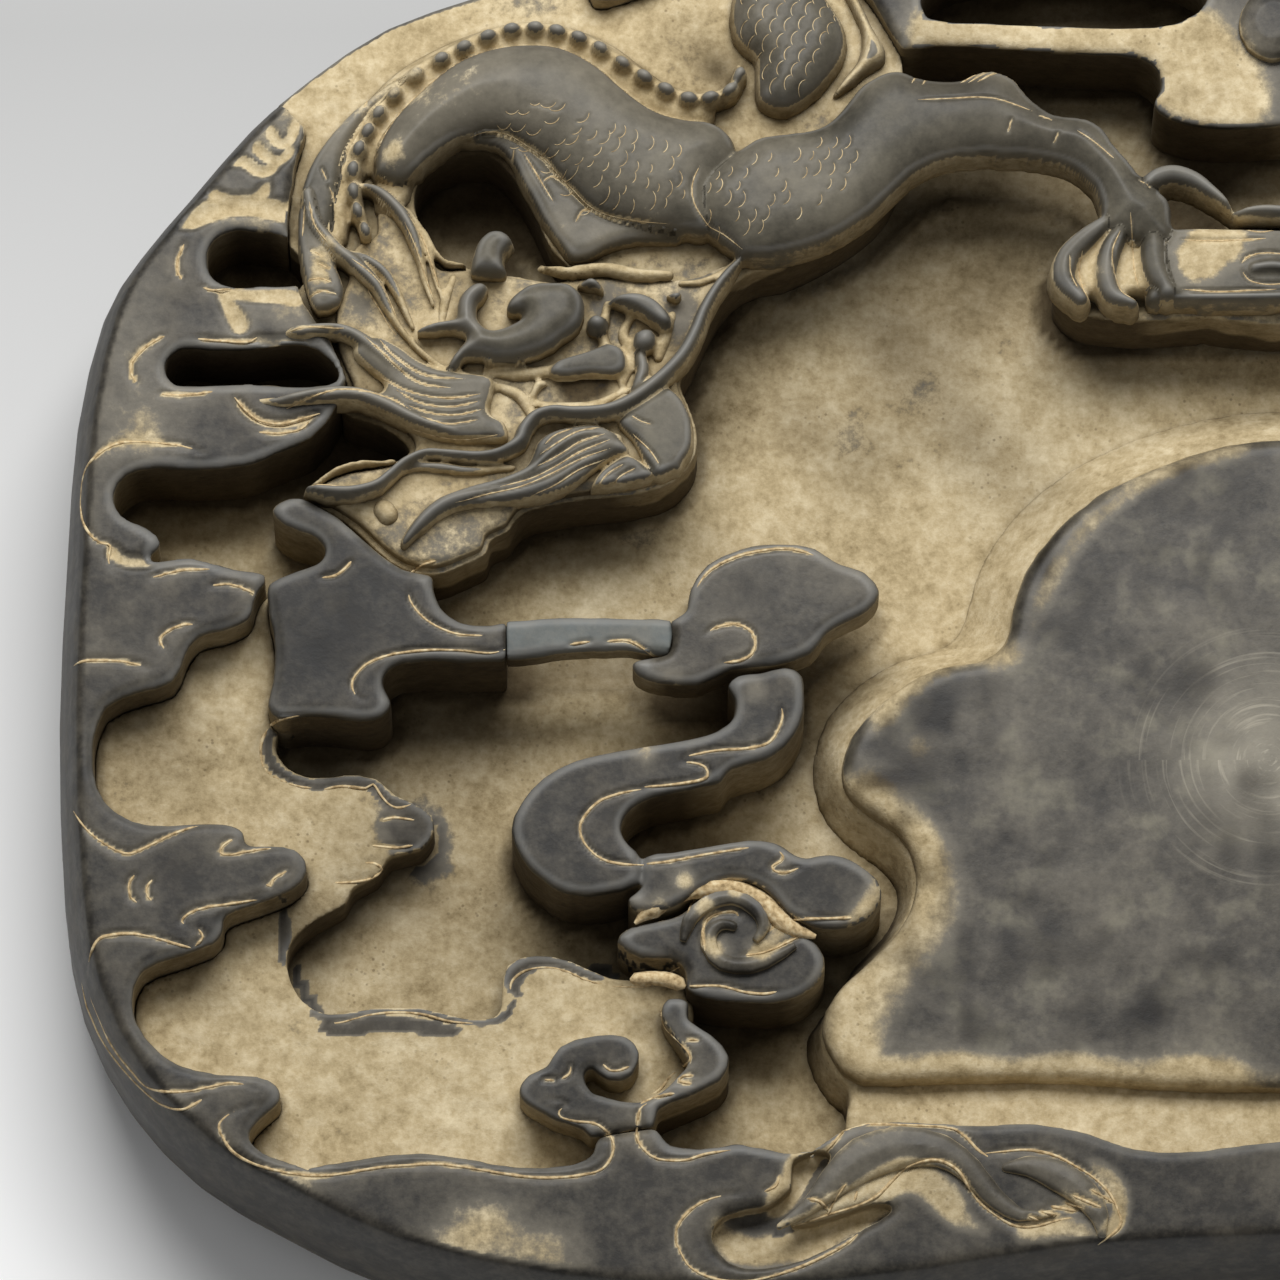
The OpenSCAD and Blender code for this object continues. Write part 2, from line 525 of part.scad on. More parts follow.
tail_marks = [
  [164.6, 22.4, 3.8, 0.6], [168.4, 14, 4.4, 0.72], [169, 4.6, 4.6, 0.78], [165, -3.4, 4.4, 0.76],
  [156.6, -6.4, 4, 0.72], [148.4, -3.6, 3.6, 0.68], [144.4, 3, 2.8, 0.6], [145, 9.6, 1.6, 0.5]
];
leg_marks = [
  [144.4, 41, 4.8, 0.7], [150, 39.6, 10.4, 0.88], [158.6, 37, 12.8, 1], [168, 32, 12.8, 1],
  [178, 25.8, 11.2, 0.98], [188, 22.2, 9.4, 0.94], [198, 20.8, 8.9, 0.93],
  [206, 22.4, 7.2, 0.9], [213.4, 26, 6.2, 0.86], [219.6, 30.8, 5.6, 0.82],
  [224.8, 36, 5.6, 0.8], [227, 41.6, 6, 0.78],
  [226.6, 46, 5.6, 0.72]
];
toe_left_marks = [
  [220.4, 44, 2, 0.66], [214.6, 49.4, 2.7, 0.74], [212.2, 54.6, 2.6, 0.7], [214, 58.8, 1.4, 0.5]
];
toe_middle_marks = [
  [223.4, 44.4, 2, 0.7], [220.8, 51, 2.8, 0.78], [220.2, 56.4, 2.5, 0.74], [221.6, 60.4, 1.3, 0.5]
];
toe_right_marks = [
  [227.2, 44.6, 2.4, 0.7], [227.2, 51.6, 3, 0.8], [227.8, 57, 2.5, 0.74], [229.2, 60.6, 1.2, 0.5]
];
toe_upper_marks = [
  [227.6, 37, 1.8, 0.72], [235, 33.8, 2, 0.76], [241, 35.6, 1.9, 0.72],
  [244.6, 38.8, 1.3, 0.66], [247, 42.2, 0.6, 0.6]
];
pearl_marks = [
  [234.4, 50.6, 4.6, 0.6], [240, 51, 6.4, 0.72], [248, 50.8, 7.2, 0.8], [257, 50.2, 7.6, 0.85],
  [265.6, 50.8, 6.6, 0.8], [273, 52.4, 4, 0.6]
];

// The dragon's head
skull_marks = [
  [88.6, 69], [91.6, 64.8], [97, 63.6], [101.4, 60.4], [104.6, 56.8], [110, 55.2],
  [115, 56.4], [116.6, 60.4], [114.8, 65.4], [110, 69], [103.6, 71.8], [96, 72.4]
];
brow_marks = [
  [137.6, 60, 1, 0.55], [134, 57.6, 1.6, 0.66], [129, 56.6, 1.5, 0.7], [124, 57.8, 1, 0.66]
];
snout_marks = [
  [122.4, 61.4], [126, 59.8], [130.6, 60.6], [132.8, 64.2], [132.8, 68.4], [130, 70.8],
  [126.4, 70.4], [123.6, 66.4]
];
cheek_marks = [
  [147, 52.6, 1, 0.6], [144.6, 56.4, 1.7, 0.68], [141.4, 61, 1.9, 0.72], [138.8, 66, 1.9, 0.76],
  [135.6, 71.6, 1.8, 0.78], [131.6, 75.8, 1.7, 0.78]
];
lip_marks = [
  [109, 74.2, 1, 0.74], [114, 73.4, 1.5, 0.8], [119.4, 73, 1.7, 0.82], [124, 73.6, 1.4, 0.8]
];
jaw_marks = [
  [127.6, 77.8, 1.6, 0.74], [123, 80.8, 1.7, 0.74], [116, 82, 1.5, 0.72], [109.4, 81.6, 1.5, 0.7],
  [105.4, 84, 1.5, 0.68], [104, 88, 1.5, 0.66], [98, 90.4, 1.4, 0.62], [90, 89.4, 1.2, 0.6],
  [84, 90.6, 1.3, 0.6], [79.4, 93.8, 1.6, 0.6], [73.6, 97, 1.2, 0.55], [66, 98, 0.6, 0.5]
];
ear_marks = [
  [94.4, 54.4, 1.6, 0.72], [94.8, 50.6, 2, 0.78], [97.4, 47.6, 2.1, 0.78], [101, 48, 1.2, 0.7]
];
horn_marks = [
  [93.4, 62.4, 1.5, 0.8], [93.2, 59.4, 1.6, 0.84], [95, 57, 1.5, 0.84], [98, 57.6, 0.8, 0.8]
];
spur_marks = [
  [82, 65, 0.6, 0.6], [85.6, 64.6, 1.1, 0.68], [89.6, 63.8, 1.2, 0.72]
];

// The raised mass under the head, the mane and the beard
bed_marks = [
  [67, 60.4], [69.2, 54.6], [69.6, 49.6], [71.6, 47], [75, 45.4], [74.9, 41], [76.8, 37.9],
  [79.6, 39.6], [82.8, 44.2], [85.6, 49.4], [87.6, 52.4], [92, 52.3], [98, 53.2],
  [105, 54.2], [110.6, 54.9], [115, 54.4], [119, 53.8], [126, 54.2], [134, 54.4], [140, 53.6], [145.2, 51.4], [148, 52.8], [144.8, 57.6],
  [141.2, 62.4], [138, 69.4], [135.4, 74.8], [137, 79], [138.8, 84.4], [138.2, 89.2],
  [134.6, 93.8], [128, 96.2], [119, 97.2], [109.6, 98.6], [103.6, 100.4], [101.2, 103.8],
  [97, 105.6], [96.4, 108.4], [92, 110.4], [87, 112.2], [81, 111.2], [76.2, 107.8],
  [72, 103.8], [66.6, 100.2], [62, 97.8], [64.4, 95.6], [69.4, 93.4], [76, 92.4],
  [82, 90.2], [82.4, 86.2], [76.8, 82.4], [70.6, 80.4], [70.2, 75.4], [67, 68]
];

// Locks of the mane, the beard and the chin
mane_tip_marks = [
  [45, 58, 0.7, 0.12], [48.6, 61.6, 1.5, 0.18], [53.6, 64.6, 1.8, 0.2], [58.4, 64.6, 1.5, 0.16]
];
mane_lock_marks = [
  [[66.6, 65.4, 1.8, 0.8], [72.4, 68.6, 2.1, 0.86], [79, 73, 2.3, 0.9], [86, 75.4, 2, 0.92],
    [94, 76.2, 2, 0.94], [102, 76, 1.4, 0.9]],
  [[71.6, 51, 1, 0.72], [73.8, 55.2, 1.8, 0.8], [76.6, 60.6, 2.1, 0.86], [80.6, 66, 2.1, 0.9],
    [85.4, 70.8, 1.7, 0.9]],
  [[75, 47.4, 0.8, 0.7], [76.4, 50.8, 1.6, 0.8], [79, 55.4, 1.9, 0.86], [82.6, 60.6, 1.5, 0.88]],
  [[77.2, 40, 0.9, 0.74], [79.4, 45, 1.5, 0.82], [82, 50.6, 1.7, 0.88], [85.4, 56.6, 1.7, 0.9],
    [89.4, 61.4, 1, 0.86]],
  [[70.4, 79.2, 1.6, 0.7], [76, 80.6, 1.8, 0.78], [82, 83.8, 1.7, 0.82], [89, 86.2, 1.4, 0.82],
    [98, 86.6, 0.9, 0.78]],
  [[85, 80, 0.8, 0.84], [91.6, 80.8, 1.8, 0.94], [98, 81, 1.8, 0.94], [104, 79.8, 1.2, 0.9]]
];
beard_lock_marks = [
  [[126.6, 86.4, 1, 0.76], [120.6, 85.6, 1.7, 0.88], [113.4, 87.6, 2, 0.9], [107.4, 92, 1.9, 0.86],
    [100.4, 95.4, 1.5, 0.8], [92, 97, 1, 0.72]],
  [[127, 90.4, 1, 0.76], [121.4, 90.4, 1.7, 0.84], [115, 93.6, 1.9, 0.84], [108, 97, 1.5, 0.8],
    [99.6, 99.8, 1.4, 0.74], [91, 102, 1.3, 0.7], [85.6, 105.4, 1.2, 0.66], [81.6, 109.4, 0.6, 0.6]],
  [[132.6, 78.6, 1.2, 0.8], [135, 82.6, 1.9, 0.86], [135.4, 87.4, 1.8, 0.82], [131.6, 91.6, 1.4, 0.74],
    [126, 94.2, 0.8, 0.66]]
];

// Modules for each piece
module base_slab() {
  heights = [0, z_rim * 0.13, z_rim * 0.36, z_floor];
  sorted = heights[2] < heights[3] ? heights : [0, z_rim * 0.13, z_floor];
  color(slate)
    ring_solid(
      [for (z = sorted) [for (i = [0:outer_count - 1])
        outer_curve[i] + outer_in[i] * side_inset(z)]],
      sorted);
}

module rim_west() {
  color(slate)
    difference() {
      rim_length(left_seam, near_seam, west_inner);
      worn_edge(west_inner, [[90, 30], [90, 231]]);
      sunk(slot_high, z_floor - 1, z_rim, rim_bevel);
      sunk(slot_low, z_floor - 1, z_rim, rim_bevel);
    }
}

module rim_south() {
  color(slate)
    difference() {
      rim_length(near_seam, right_seam, south_inner);
      worn_edge(south_inner, [[62, 200], [300, 200]]);
      sunk(front_hollow, z_rim - hollow_depth, z_rim, rim_bevel);
    }
}

module rim_east() {
  color(slate)
    difference() {
      rim_length(right_seam, back_seam, east_inner);
      worn_edge(east_inner, [[290, 226], [290, 36]]);
    }
}

module rim_north() {
  color(slate)
    difference() {
      rim_length(back_seam, far_seam + [outer_count, 0], north_inner);
      worn_edge(north_inner, [[288, 50], [121, 50]]);
      sunk(far_slot, z_floor - 1, z_rim, rim_bevel * 0.5);
    }
}

module cloud_terrace() {
  outline = concat(lay_all(terrace_marks, terrace_shift), lay_all(terrace_loose_marks));
  color(dusty)
    translate([0, 0, z_floor])
      linear_extrude(terrace_rise)
        difference() {
          polygon(closed_curve(outline));
          polygon(rim_plan(left_seam, near_seam, west_inner));
          polygon(rim_plan(near_seam, right_seam, south_inner));
          polygon(west_cloud);
          polygon(swirl_cloud);
        }
}

module pool_bank() {
  color(dusty) {
    ring_solid([toe_ring, field_ring], [z_floor, z_bank]);
    translate([0, 0, z_floor])
      linear_extrude(bank_rise)
        difference() {
          polygon(lay_all(trough_marks));
          polygon(rim_plan(near_seam, right_seam, south_inner));
          polygon(rim_plan(right_seam, back_seam, east_inner));
        }
  }
}

module grinding_field() {
  color(sheen)
    carved(field_ring, z_bank, z_field, field_bevel, field_drop);
}

module dragon_ground() {
  color(dusty)
    rim_length(far_seam, left_seam, ground_inner, z_ground, [[30, 150], [230, 150], [230, -14], [170, -19]])
      for (hole = [slot_high, slot_low, loop_pool]) polygon(hole);
}

module claw_rock() {
  color(dusty)
    translate([0, 0, z_floor])
      linear_extrude(ground_rise) polygon(closed_curve(lay_all(rock_marks)));
}

module beyond_joint(side) {
  x = lay([arm_joint, 0]).x;
  translate([side > 0 ? x : x - 200, -stone_depth, 0]) cube([200, 2 * stone_depth, 2 * z_rim]);
}

module cloud_west() {
  color(slate)
    difference() {
      carved(west_cloud, z_floor, z_rim, cloud_bevel, cloud_drop);
      beyond_joint(1);
    }
}

module cloud_arm() {
  color(bluish)
    difference() {
      carved(arm_ring, z_rim - arm_thickness, z_rim, cloud_bevel, cloud_drop);
      beyond_joint(-1);
      linear_extrude(2 * z_rim) polygon(head_cloud);
    }
}

module cloud_head() {
  color("#353432") {
    carved(head_cloud, z_rim - head_thickness, z_rim, cloud_bevel, cloud_drop);
    translate([0, 0, z_floor])
      linear_extrude(rim_rise - head_thickness) polygon(stem_ring);
  }
}

module cloud_scroll() {
  color(slate) carved(scroll_cloud, z_floor, z_rim, cloud_bevel, cloud_drop);
}

module cloud_lobe() {
  color(slate) carved(lobe_cloud, z_floor, z_rim, cloud_bevel, cloud_drop);
}

module cloud_swirl() {
  color(slate) carved(swirl_cloud, z_floor, z_rim - swirl_rise, cloud_bevel, cloud_drop);
}

module cloud_curls() {
  color(slate) {
    ridge(swirl_outer_marks, z_rim - swirl_rise, swirl_rise, lock_dome);
    ridge(swirl_inner_marks, z_rim - swirl_rise, swirl_rise, lock_dome);
  }
}

module cloud_ruyi() {
  color(slate) carved(ruyi_ring, z_terrace, z_rim, cloud_bevel * 0.6, cloud_drop * 0.7);
}

module cloud_knob() {
  color(slate) boss(leftward(closed_curve(lay_all(knob_marks))), z_rim, wave_rise * 2);
}

module wave_wings() {
  color(slate) {
    ridge(wave_left_marks, z_rim, wave_rise, broad_dome);
    ridge(wave_right_marks, z_rim, wave_rise, broad_dome);
  }
}

module leg_form() {
  ridge(leg_marks, z_ground, leg_rise, broad_dome);
}

module body_form() {
  ridge(body_marks, z_ground, body_rise, broad_dome);
}

module dragon_body() {
  color(slate)
    difference() {
      body_form();
      leg_form();
    }
}

module dragon_back() {
  color(slate) ridge(back_marks, z_ground, body_rise * 0.8, broad_dome);
}

// Upright plates set across a line of marks, each with its length, width and top
module plates(marks, length, width, low, high) {
  line = [for (p = open_curve(marks, 2)) lay(p)];
  for (i = [1:len(line) - 2]) {
    t = line[i + 1] - line[i - 1];
    translate([line[i].x, line[i].y, low])
      rotate([0, 0, atan2(t.y, t.x)])
        linear_extrude(high - low)
          polygon([
            [-length * 0.5, 0], [-length * 0.2, width * 0.42], [length * 0.3, width * 0.5],
            [length * 0.5, 0], [length * 0.3, -width * 0.5], [-length * 0.2, -width * 0.42]
          ]);
  }
}

module dragon_spine() {
  top = z_ground + body_rise * 0.6;
  color(slate) {
    ridge([for (p = spine_marks) [p.x, p.y, 1.3, 1]], z_ground, body_rise * 0.6, lock_dome);
    plates(spine_marks, 3.2, 2.5, top - 3, top + plate_rise - 1);
  }
}

module dragon_belly() {
  top = z_ground + body_rise * 0.6;
  color(slate)
    difference() {
      union() {
        ridge([for (p = belly_marks) [p.x, p.y, 2.4, 1]], z_ground, body_rise * 0.6, lock_dome);
        plates(belly_marks, 1.9, 4.2, top - 3, top + plate_rise * 0.3);
      }
      body_form();
    }
}

module dragon_tail() {
  color(slate)
    difference() {
      ridge(tail_marks, z_ground, body_rise, broad_dome);
      leg_form();
    }
}

module dragon_foreleg() {
  color(slate) leg_form();
}

module dragon_claws() {
  color(slate)
    difference() {
      for (toe = [toe_left_marks, toe_middle_marks, toe_right_marks, toe_upper_marks])
        ridge(toe, z_ground, leg_rise, lock_dome);
      leg_form();
    }
}

module pearl_bar() {
  color(slate) ridge(pearl_marks, z_ground, leg_rise, broad_dome);
}

module head_bed() {
  color(dusty)
    carved(leftward(closed_curve(lay_all(bed_marks))), z_ground, z_bed, bed_rise * 0.4, bed_rise * 0.5);
}

module dragon_head() {
  color(slate) boss(leftward(closed_curve(lay_all(skull_marks))), z_bed, head_rise - bed_rise);
}

module dragon_snout() {
  color(slate) {
    boss(leftward(closed_curve(lay_all(snout_marks))), z_bed, head_rise * 0.82 - bed_rise);
    for (r = [brow_marks, cheek_marks, lip_marks]) ridge(r, z_bed, head_rise - bed_rise, lock_dome);
  }
}

module dragon_eye() {
  p = lay([119.5, 64]);
  color(sheen)
    translate([p.x, p.y, z_bed]) {
      cylinder(h = head_rise * 0.66 - bed_rise, d = eye_diameter, $fn = 48);
      translate([0, 0, head_rise * 0.66 - bed_rise]) sphere(d = eye_diameter, $fn = 48);
    }
}

module dragon_horns() {
  color(slate)
    for (r = [horn_marks, spur_marks, ear_marks]) ridge(r, z_bed, head_rise - bed_rise, lock_dome);
}

module dragon_jaw() {
  color(slate) ridge(jaw_marks, z_bed, head_rise - bed_rise, lock_dome);
}

module dragon_mane() {
  color(slate) {
    for (r = mane_lock_marks) ridge(r, z_bed, lock_rise - bed_rise, lock_dome);
    ridge(mane_tip_marks, z_rim, lock_rise, lock_dome);
  }
}

module dragon_beard() {
  color(slate) for (r = beard_lock_marks) ridge(r, z_bed, lock_rise - bed_rise, lock_dome);
}

base_slab();
rim_west();
rim_south();
rim_east();
rim_north();
cloud_terrace();
pool_bank();
grinding_field();
dragon_ground();
claw_rock();
cloud_west();
cloud_arm();
cloud_head();
cloud_scroll();
cloud_lobe();
cloud_swirl();
cloud_curls();
cloud_ruyi();
cloud_knob();
wave_wings();
dragon_body();
dragon_back();
dragon_spine();
dragon_belly();
dragon_tail();
dragon_foreleg();
dragon_claws();
head_bed();
dragon_head();
dragon_snout();
dragon_eye();
dragon_horns();
dragon_jaw();
dragon_mane();
dragon_beard();
pearl_bar();
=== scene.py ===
import math
from functools import cache
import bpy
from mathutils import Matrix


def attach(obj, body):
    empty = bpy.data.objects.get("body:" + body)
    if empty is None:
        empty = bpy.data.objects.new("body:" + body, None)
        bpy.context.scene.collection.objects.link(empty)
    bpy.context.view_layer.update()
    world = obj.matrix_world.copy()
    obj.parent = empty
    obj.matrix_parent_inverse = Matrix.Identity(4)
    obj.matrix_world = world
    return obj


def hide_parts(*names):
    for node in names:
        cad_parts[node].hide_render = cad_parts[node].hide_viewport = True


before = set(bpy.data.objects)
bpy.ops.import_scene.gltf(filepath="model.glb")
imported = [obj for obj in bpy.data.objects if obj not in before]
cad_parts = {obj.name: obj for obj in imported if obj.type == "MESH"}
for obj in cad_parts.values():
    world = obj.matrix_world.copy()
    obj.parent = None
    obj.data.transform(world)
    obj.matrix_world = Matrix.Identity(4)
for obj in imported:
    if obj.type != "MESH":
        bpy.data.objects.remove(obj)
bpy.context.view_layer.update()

from types import SimpleNamespace

import bmesh
import bpy
import numpy as np
from bpy.props import FloatProperty, FloatVectorProperty, PointerProperty
from mathutils import Matrix, Vector
from mathutils.bvhtree import BVHTree

bl_info = {
    "name": "Carved Ink Stone",
    "version": (1, 0, 0),
    "blender": (4, 5, 0),
    "location": "3D View > Sidebar > Ink Stone",
    "description": "Dresses a carved slate ink stone with dragon, clouds and dusty pools",
    "category": "Object",
}

MM = 0.001

# The stone is drawn on a sheet in millimetres, x to the right and y towards the near side. These are the sheet's
# place of the stone's middle, how much of the stone a sheet millimetre spans, and the plane that marks lie on.
SHEET_X, SHEET_Y = 199.297, 116.844
ACROSS, DOWN = 0.99842, 1.03395
RIM_TOP = 46.0

# The direction the sheet is looked at, and how far a mark moves to the far side for each millimetre it lies lower
SIGHT = np.array([0.0, 0.2600, -0.9656])
LEAN = 0.2693

# How far above a mark the look at the stone starts
LOOK_FROM = 25

# The camera: the mark it looks at, its distance and the width it sees there in metres, and its film in mm
AIM = (128, 128)
EYE_DISTANCE = 3.0
SEEN_WIDTH = 0.2556
FILM_WIDTH = 36

# The lamp's size and place, half the floor's size, and the y from which and to which the floor's painted shade fades
# so that it grows paler, in metres
LAMP_SIZE = (0.8, 0.45)
LAMP_PLACE = Vector((-0.05, 0.56, 0.90))
FLOOR_HALF = 3.0
FLOOR_FADE = (0.13, -0.14)

# Heights at which solids stand on one another, in mm
POOL_FLOOR, BANK_TOP, TERRACE_TOP, GROUND_TOP, CURL_FOOT = 20, 31, 33, 40, 43.4

# The grids over the stone: size of a cell and first corner in mm, and the count of cells
CELL = 0.4
LOW = np.array([-190.0, -150.0])
SHAPE = (951, 751)

# The height that stands for no relief
NOTHING = -99.0

# The usual height of the dragon's fine lines and of the scales, and the lowest that still lies on the dragon
HAIR_HEIGHT, SCALE_HEIGHT, LEAST_HEIGHT = 49.5, 52.5, 43.5

# The middle of the ground rings on the field
RING_MARK = (254, 152)
FIELD_TOP = 36.5

# Width of the carver's lines by group, and their depth
LINE_WIDTH, SHELF_LINE_WIDTH, LINE_DEPTH = 1.4, 1.5, 0.55

# How far the stone's outer edge is rounded off
EDGE_ROUNDING = 3.2

# Radius of the dust in the carver's lines, and how deep it and the finer dust lie
LINE_DUST, LINE_DUST_SUNK, FINE_DUST_SUNK = 0.36, 0.42, 0.02

# Lines cut in the rim and filled with dust
RIM_LINES = [
    "36.3,47.8 35,51 34.8,53.5 36,55.7",
    "40,57 42,57.5 45.5,57.2",
    "33,66.5 30,68 27.5,70 25.7,72.5 26,75 27.5,77",
    "31.5,78.5 36,78.8 42.5,78",
    "38.5,67.3 44,67.8 49,68 51,67",
    "46,78.5 49,82 52,84 56,84.5 60,83.5 64,82.3",
    "51,86.2 56,86.4 60,85.5 61.5,84",
    "41,90.5 36,89 30,88.3 24,88.3 20,90 17,93 16,96 15.7,100 16.3,104 18,107 20,108.5 21.8,109 21.5,112 "
    "22.5,114 24,114.8",
    "30,115.5 36,114 42,113.7",
    "42,117 46,116.8 49,117.8 51,119 52,122",
    "39,124.8 36,125 33,126.5 32,128 33,130",
    "12.5,136 13.5,134 16,132.3 20,132 25,132.3 30,133.5",
    "12.5,152 13,158 15,162 18,166 22,169 26,170.5 30,169 34,167 38,165.5 41,165",
    "27.5,174.5 26.2,176.5 26.5,179 28,180.3",
    "31,175.5 29.7,177.3 30,179 31,180",
    "47.5,167.3 45,168.8 44.3,170.3 46,170.8 48.5,170.3 52,169.7 55,169.5",
    "53,176.2 54.5,177 55,175.5 58,173.8",
    "52.5,179.5 46,180.5 41,181.3 38,182.5 36.8,184 38,184.8",
    "40,185.3 41,187 39.5,188.8",
    "18.3,198 18,194 18.8,190 20.5,187.3 24,186.5 28,186.5 32,187.3 36,188.5 39.5,189.3",
    "18.3,198 19.5,202 21.5,206 24,210 27,213.5 30,216.5 34,217.5 38,217.5 44,216.3 47,215.8 52.5,216.8",
    "16.5,196 18,202 21,208 25,213 29,217 33,220 37,221 40,219.8 43,217.8",
    "53,220.2 50,220.5 46.5,222 44.5,224 45,226 47,229 50,231 54,232.5 60,233.8 66,234 70,233.5 76,232.5 "
    "82,232 88,231.8 94,232.5 100,233.5 105,234.2 110,234.5 116,234 120,233 122,231 122.8,228 121.5,225.5 "
    "119,223.8 115,223.3 112.3,222.5 112,221.3 113.5,220 112,219.3 109.5,219",
    "120.5,212 122,213.3 124,213.3 126,212.5",
    "109,215.2 111,215.3",
    "112.5,215 114,214 114.3,212.5",
    "130,219.5 128,221 127.5,224 127.5,227 130,230 133,231 137,231 141,229.8 146,229",
    "148.5,237.3 143,238.3 139,240 136,243 135,246 136,249 138,252 142,254 147,254.7 153,254 160,251.8 "
    "166,249 170,246.5 173,243.5 176,241",
    "155.5,234 155,236 152.5,237.2",
    "128,220 131,218.7 135,217.8",
]

# Lines on the shelf between the clouds
SHELF_LINES = [
    "61,142.8 57,143.5 54,145 52.3,148 52,151 53,154 56,156 60,157.3 64,157.6",
    "64,158 68,157.2 73,157.6 74.5,156.8 76.3,159.3 78,161 80,161.5 83,160.5",
    "76,164 79,163.5 83,164",
    "74,169 79,169.5 82.5,169",
    "72,172.5 75,172.7 76.3,173.8 74.5,175.5 71,176.3 66,176.6",
    "64,204.5 68,204.3 73,203 78,202.3 84,202.5 90,204 96,204.5",
    "104,199.5 102.3,198 102.5,196 105,194 109,193.3 113,194 117,195.7 121,196.8 126,197.2 130,196.8 "
    "136,193",
]

# Lines on the clouds round the pools
CLOUD_LINES = [
    "81.5,117.7 82,120 84,122.8 87,125 91,126.6 95,127 97,127",
    "82,114.5 84,113 87,112",
    "64,115.5 67,115 69,113.5 70.3,112",
    "101,129.8 98,130.5 92,130 86,129.9 80,130.5 76,131.5 73,133 70.8,135.5 70.5,137.5 71.5,139.3 73,139.8",
    "114,128.8 118,128.2",
    "121,128.2 126,128.2 131,131.3",
    "139,118 142,114 148,111 155,109.7 160,110 164,111.5",
    "141,127 143,125.5 147,124.7 150,126 151,128 150.5,130.5 148,132 144,132.5",
    "130,157.5 125,158.3 120,160 117,163 116,165.5 117,168.5 120,171.3 124,172.5 130,172.8",
    "156,140.5 156.5,143 155.5,146 153.5,148.5 149,149.6 143,150 136.5,151.3",
    "136,152.2 139,152.5 141,153.3 141.5,155 139.5,156 134,156.8 128,157.3",
    "128,172.7 134,172 142,170.5 150.5,169.2",
    "155.5,169.8 156.5,171 156,172 154.3,173 155,174 157,174.3 160,173.2",
    "156,184 160,183.5 170.5,183.2",
    "137,183 140,178.5 145,176.3 150,177 154,180 155,184 153,187",
    "148,183.5 146.5,182 142,183 140.5,186 141,190",
    "148,190.8 153,190 158,187.8 161,186.3",
    "132,201 132.5,198.5 135,197 139,196.8 144,196.8 149,198 153,198.3 156,197.7",
    "137.5,207.3 139.5,207.4",
    "139,214.3 136.5,214.5 135.8,215.5 138.5,216",
    "132,201 133,205 136,208 138,211 136,213.5 134,215 132,217.5 129,219.5",
]

# Lines of the waves on the near rim
WAVE_LINES = [
    "153,243.5 157,240.5 160,237 163,232 166,228 169,225 173,224 188,224.5 192,226 195,229 198,231",
    "155,245 160,243.5 166,241.5 171,240 175,238 178,235 181,232.3 185,231 188,231.2 191,233 193,236 "
    "195,239 198,241.5 202,243.8 206,244 210,243 214,242.3 217,243",
    "195,229.8 200,229.3 205,229 210,230 214,232 218,234.5 221,237.5 222.5,240.5 223,244 218,248",
    "217,236.5 222,239.5",
    "213.5,237.8 219.5,240.3",
    "212,239.3 215.5,240.3",
    "209,240 214.5,241",
    "207.5,241 210.5,241.7",
    "205,242 207,242.8",
    "169,235.3 166.5,239 165,242",
    "161,238.5 163.5,239 165.5,241",
    "171,237 170.5,239",
]

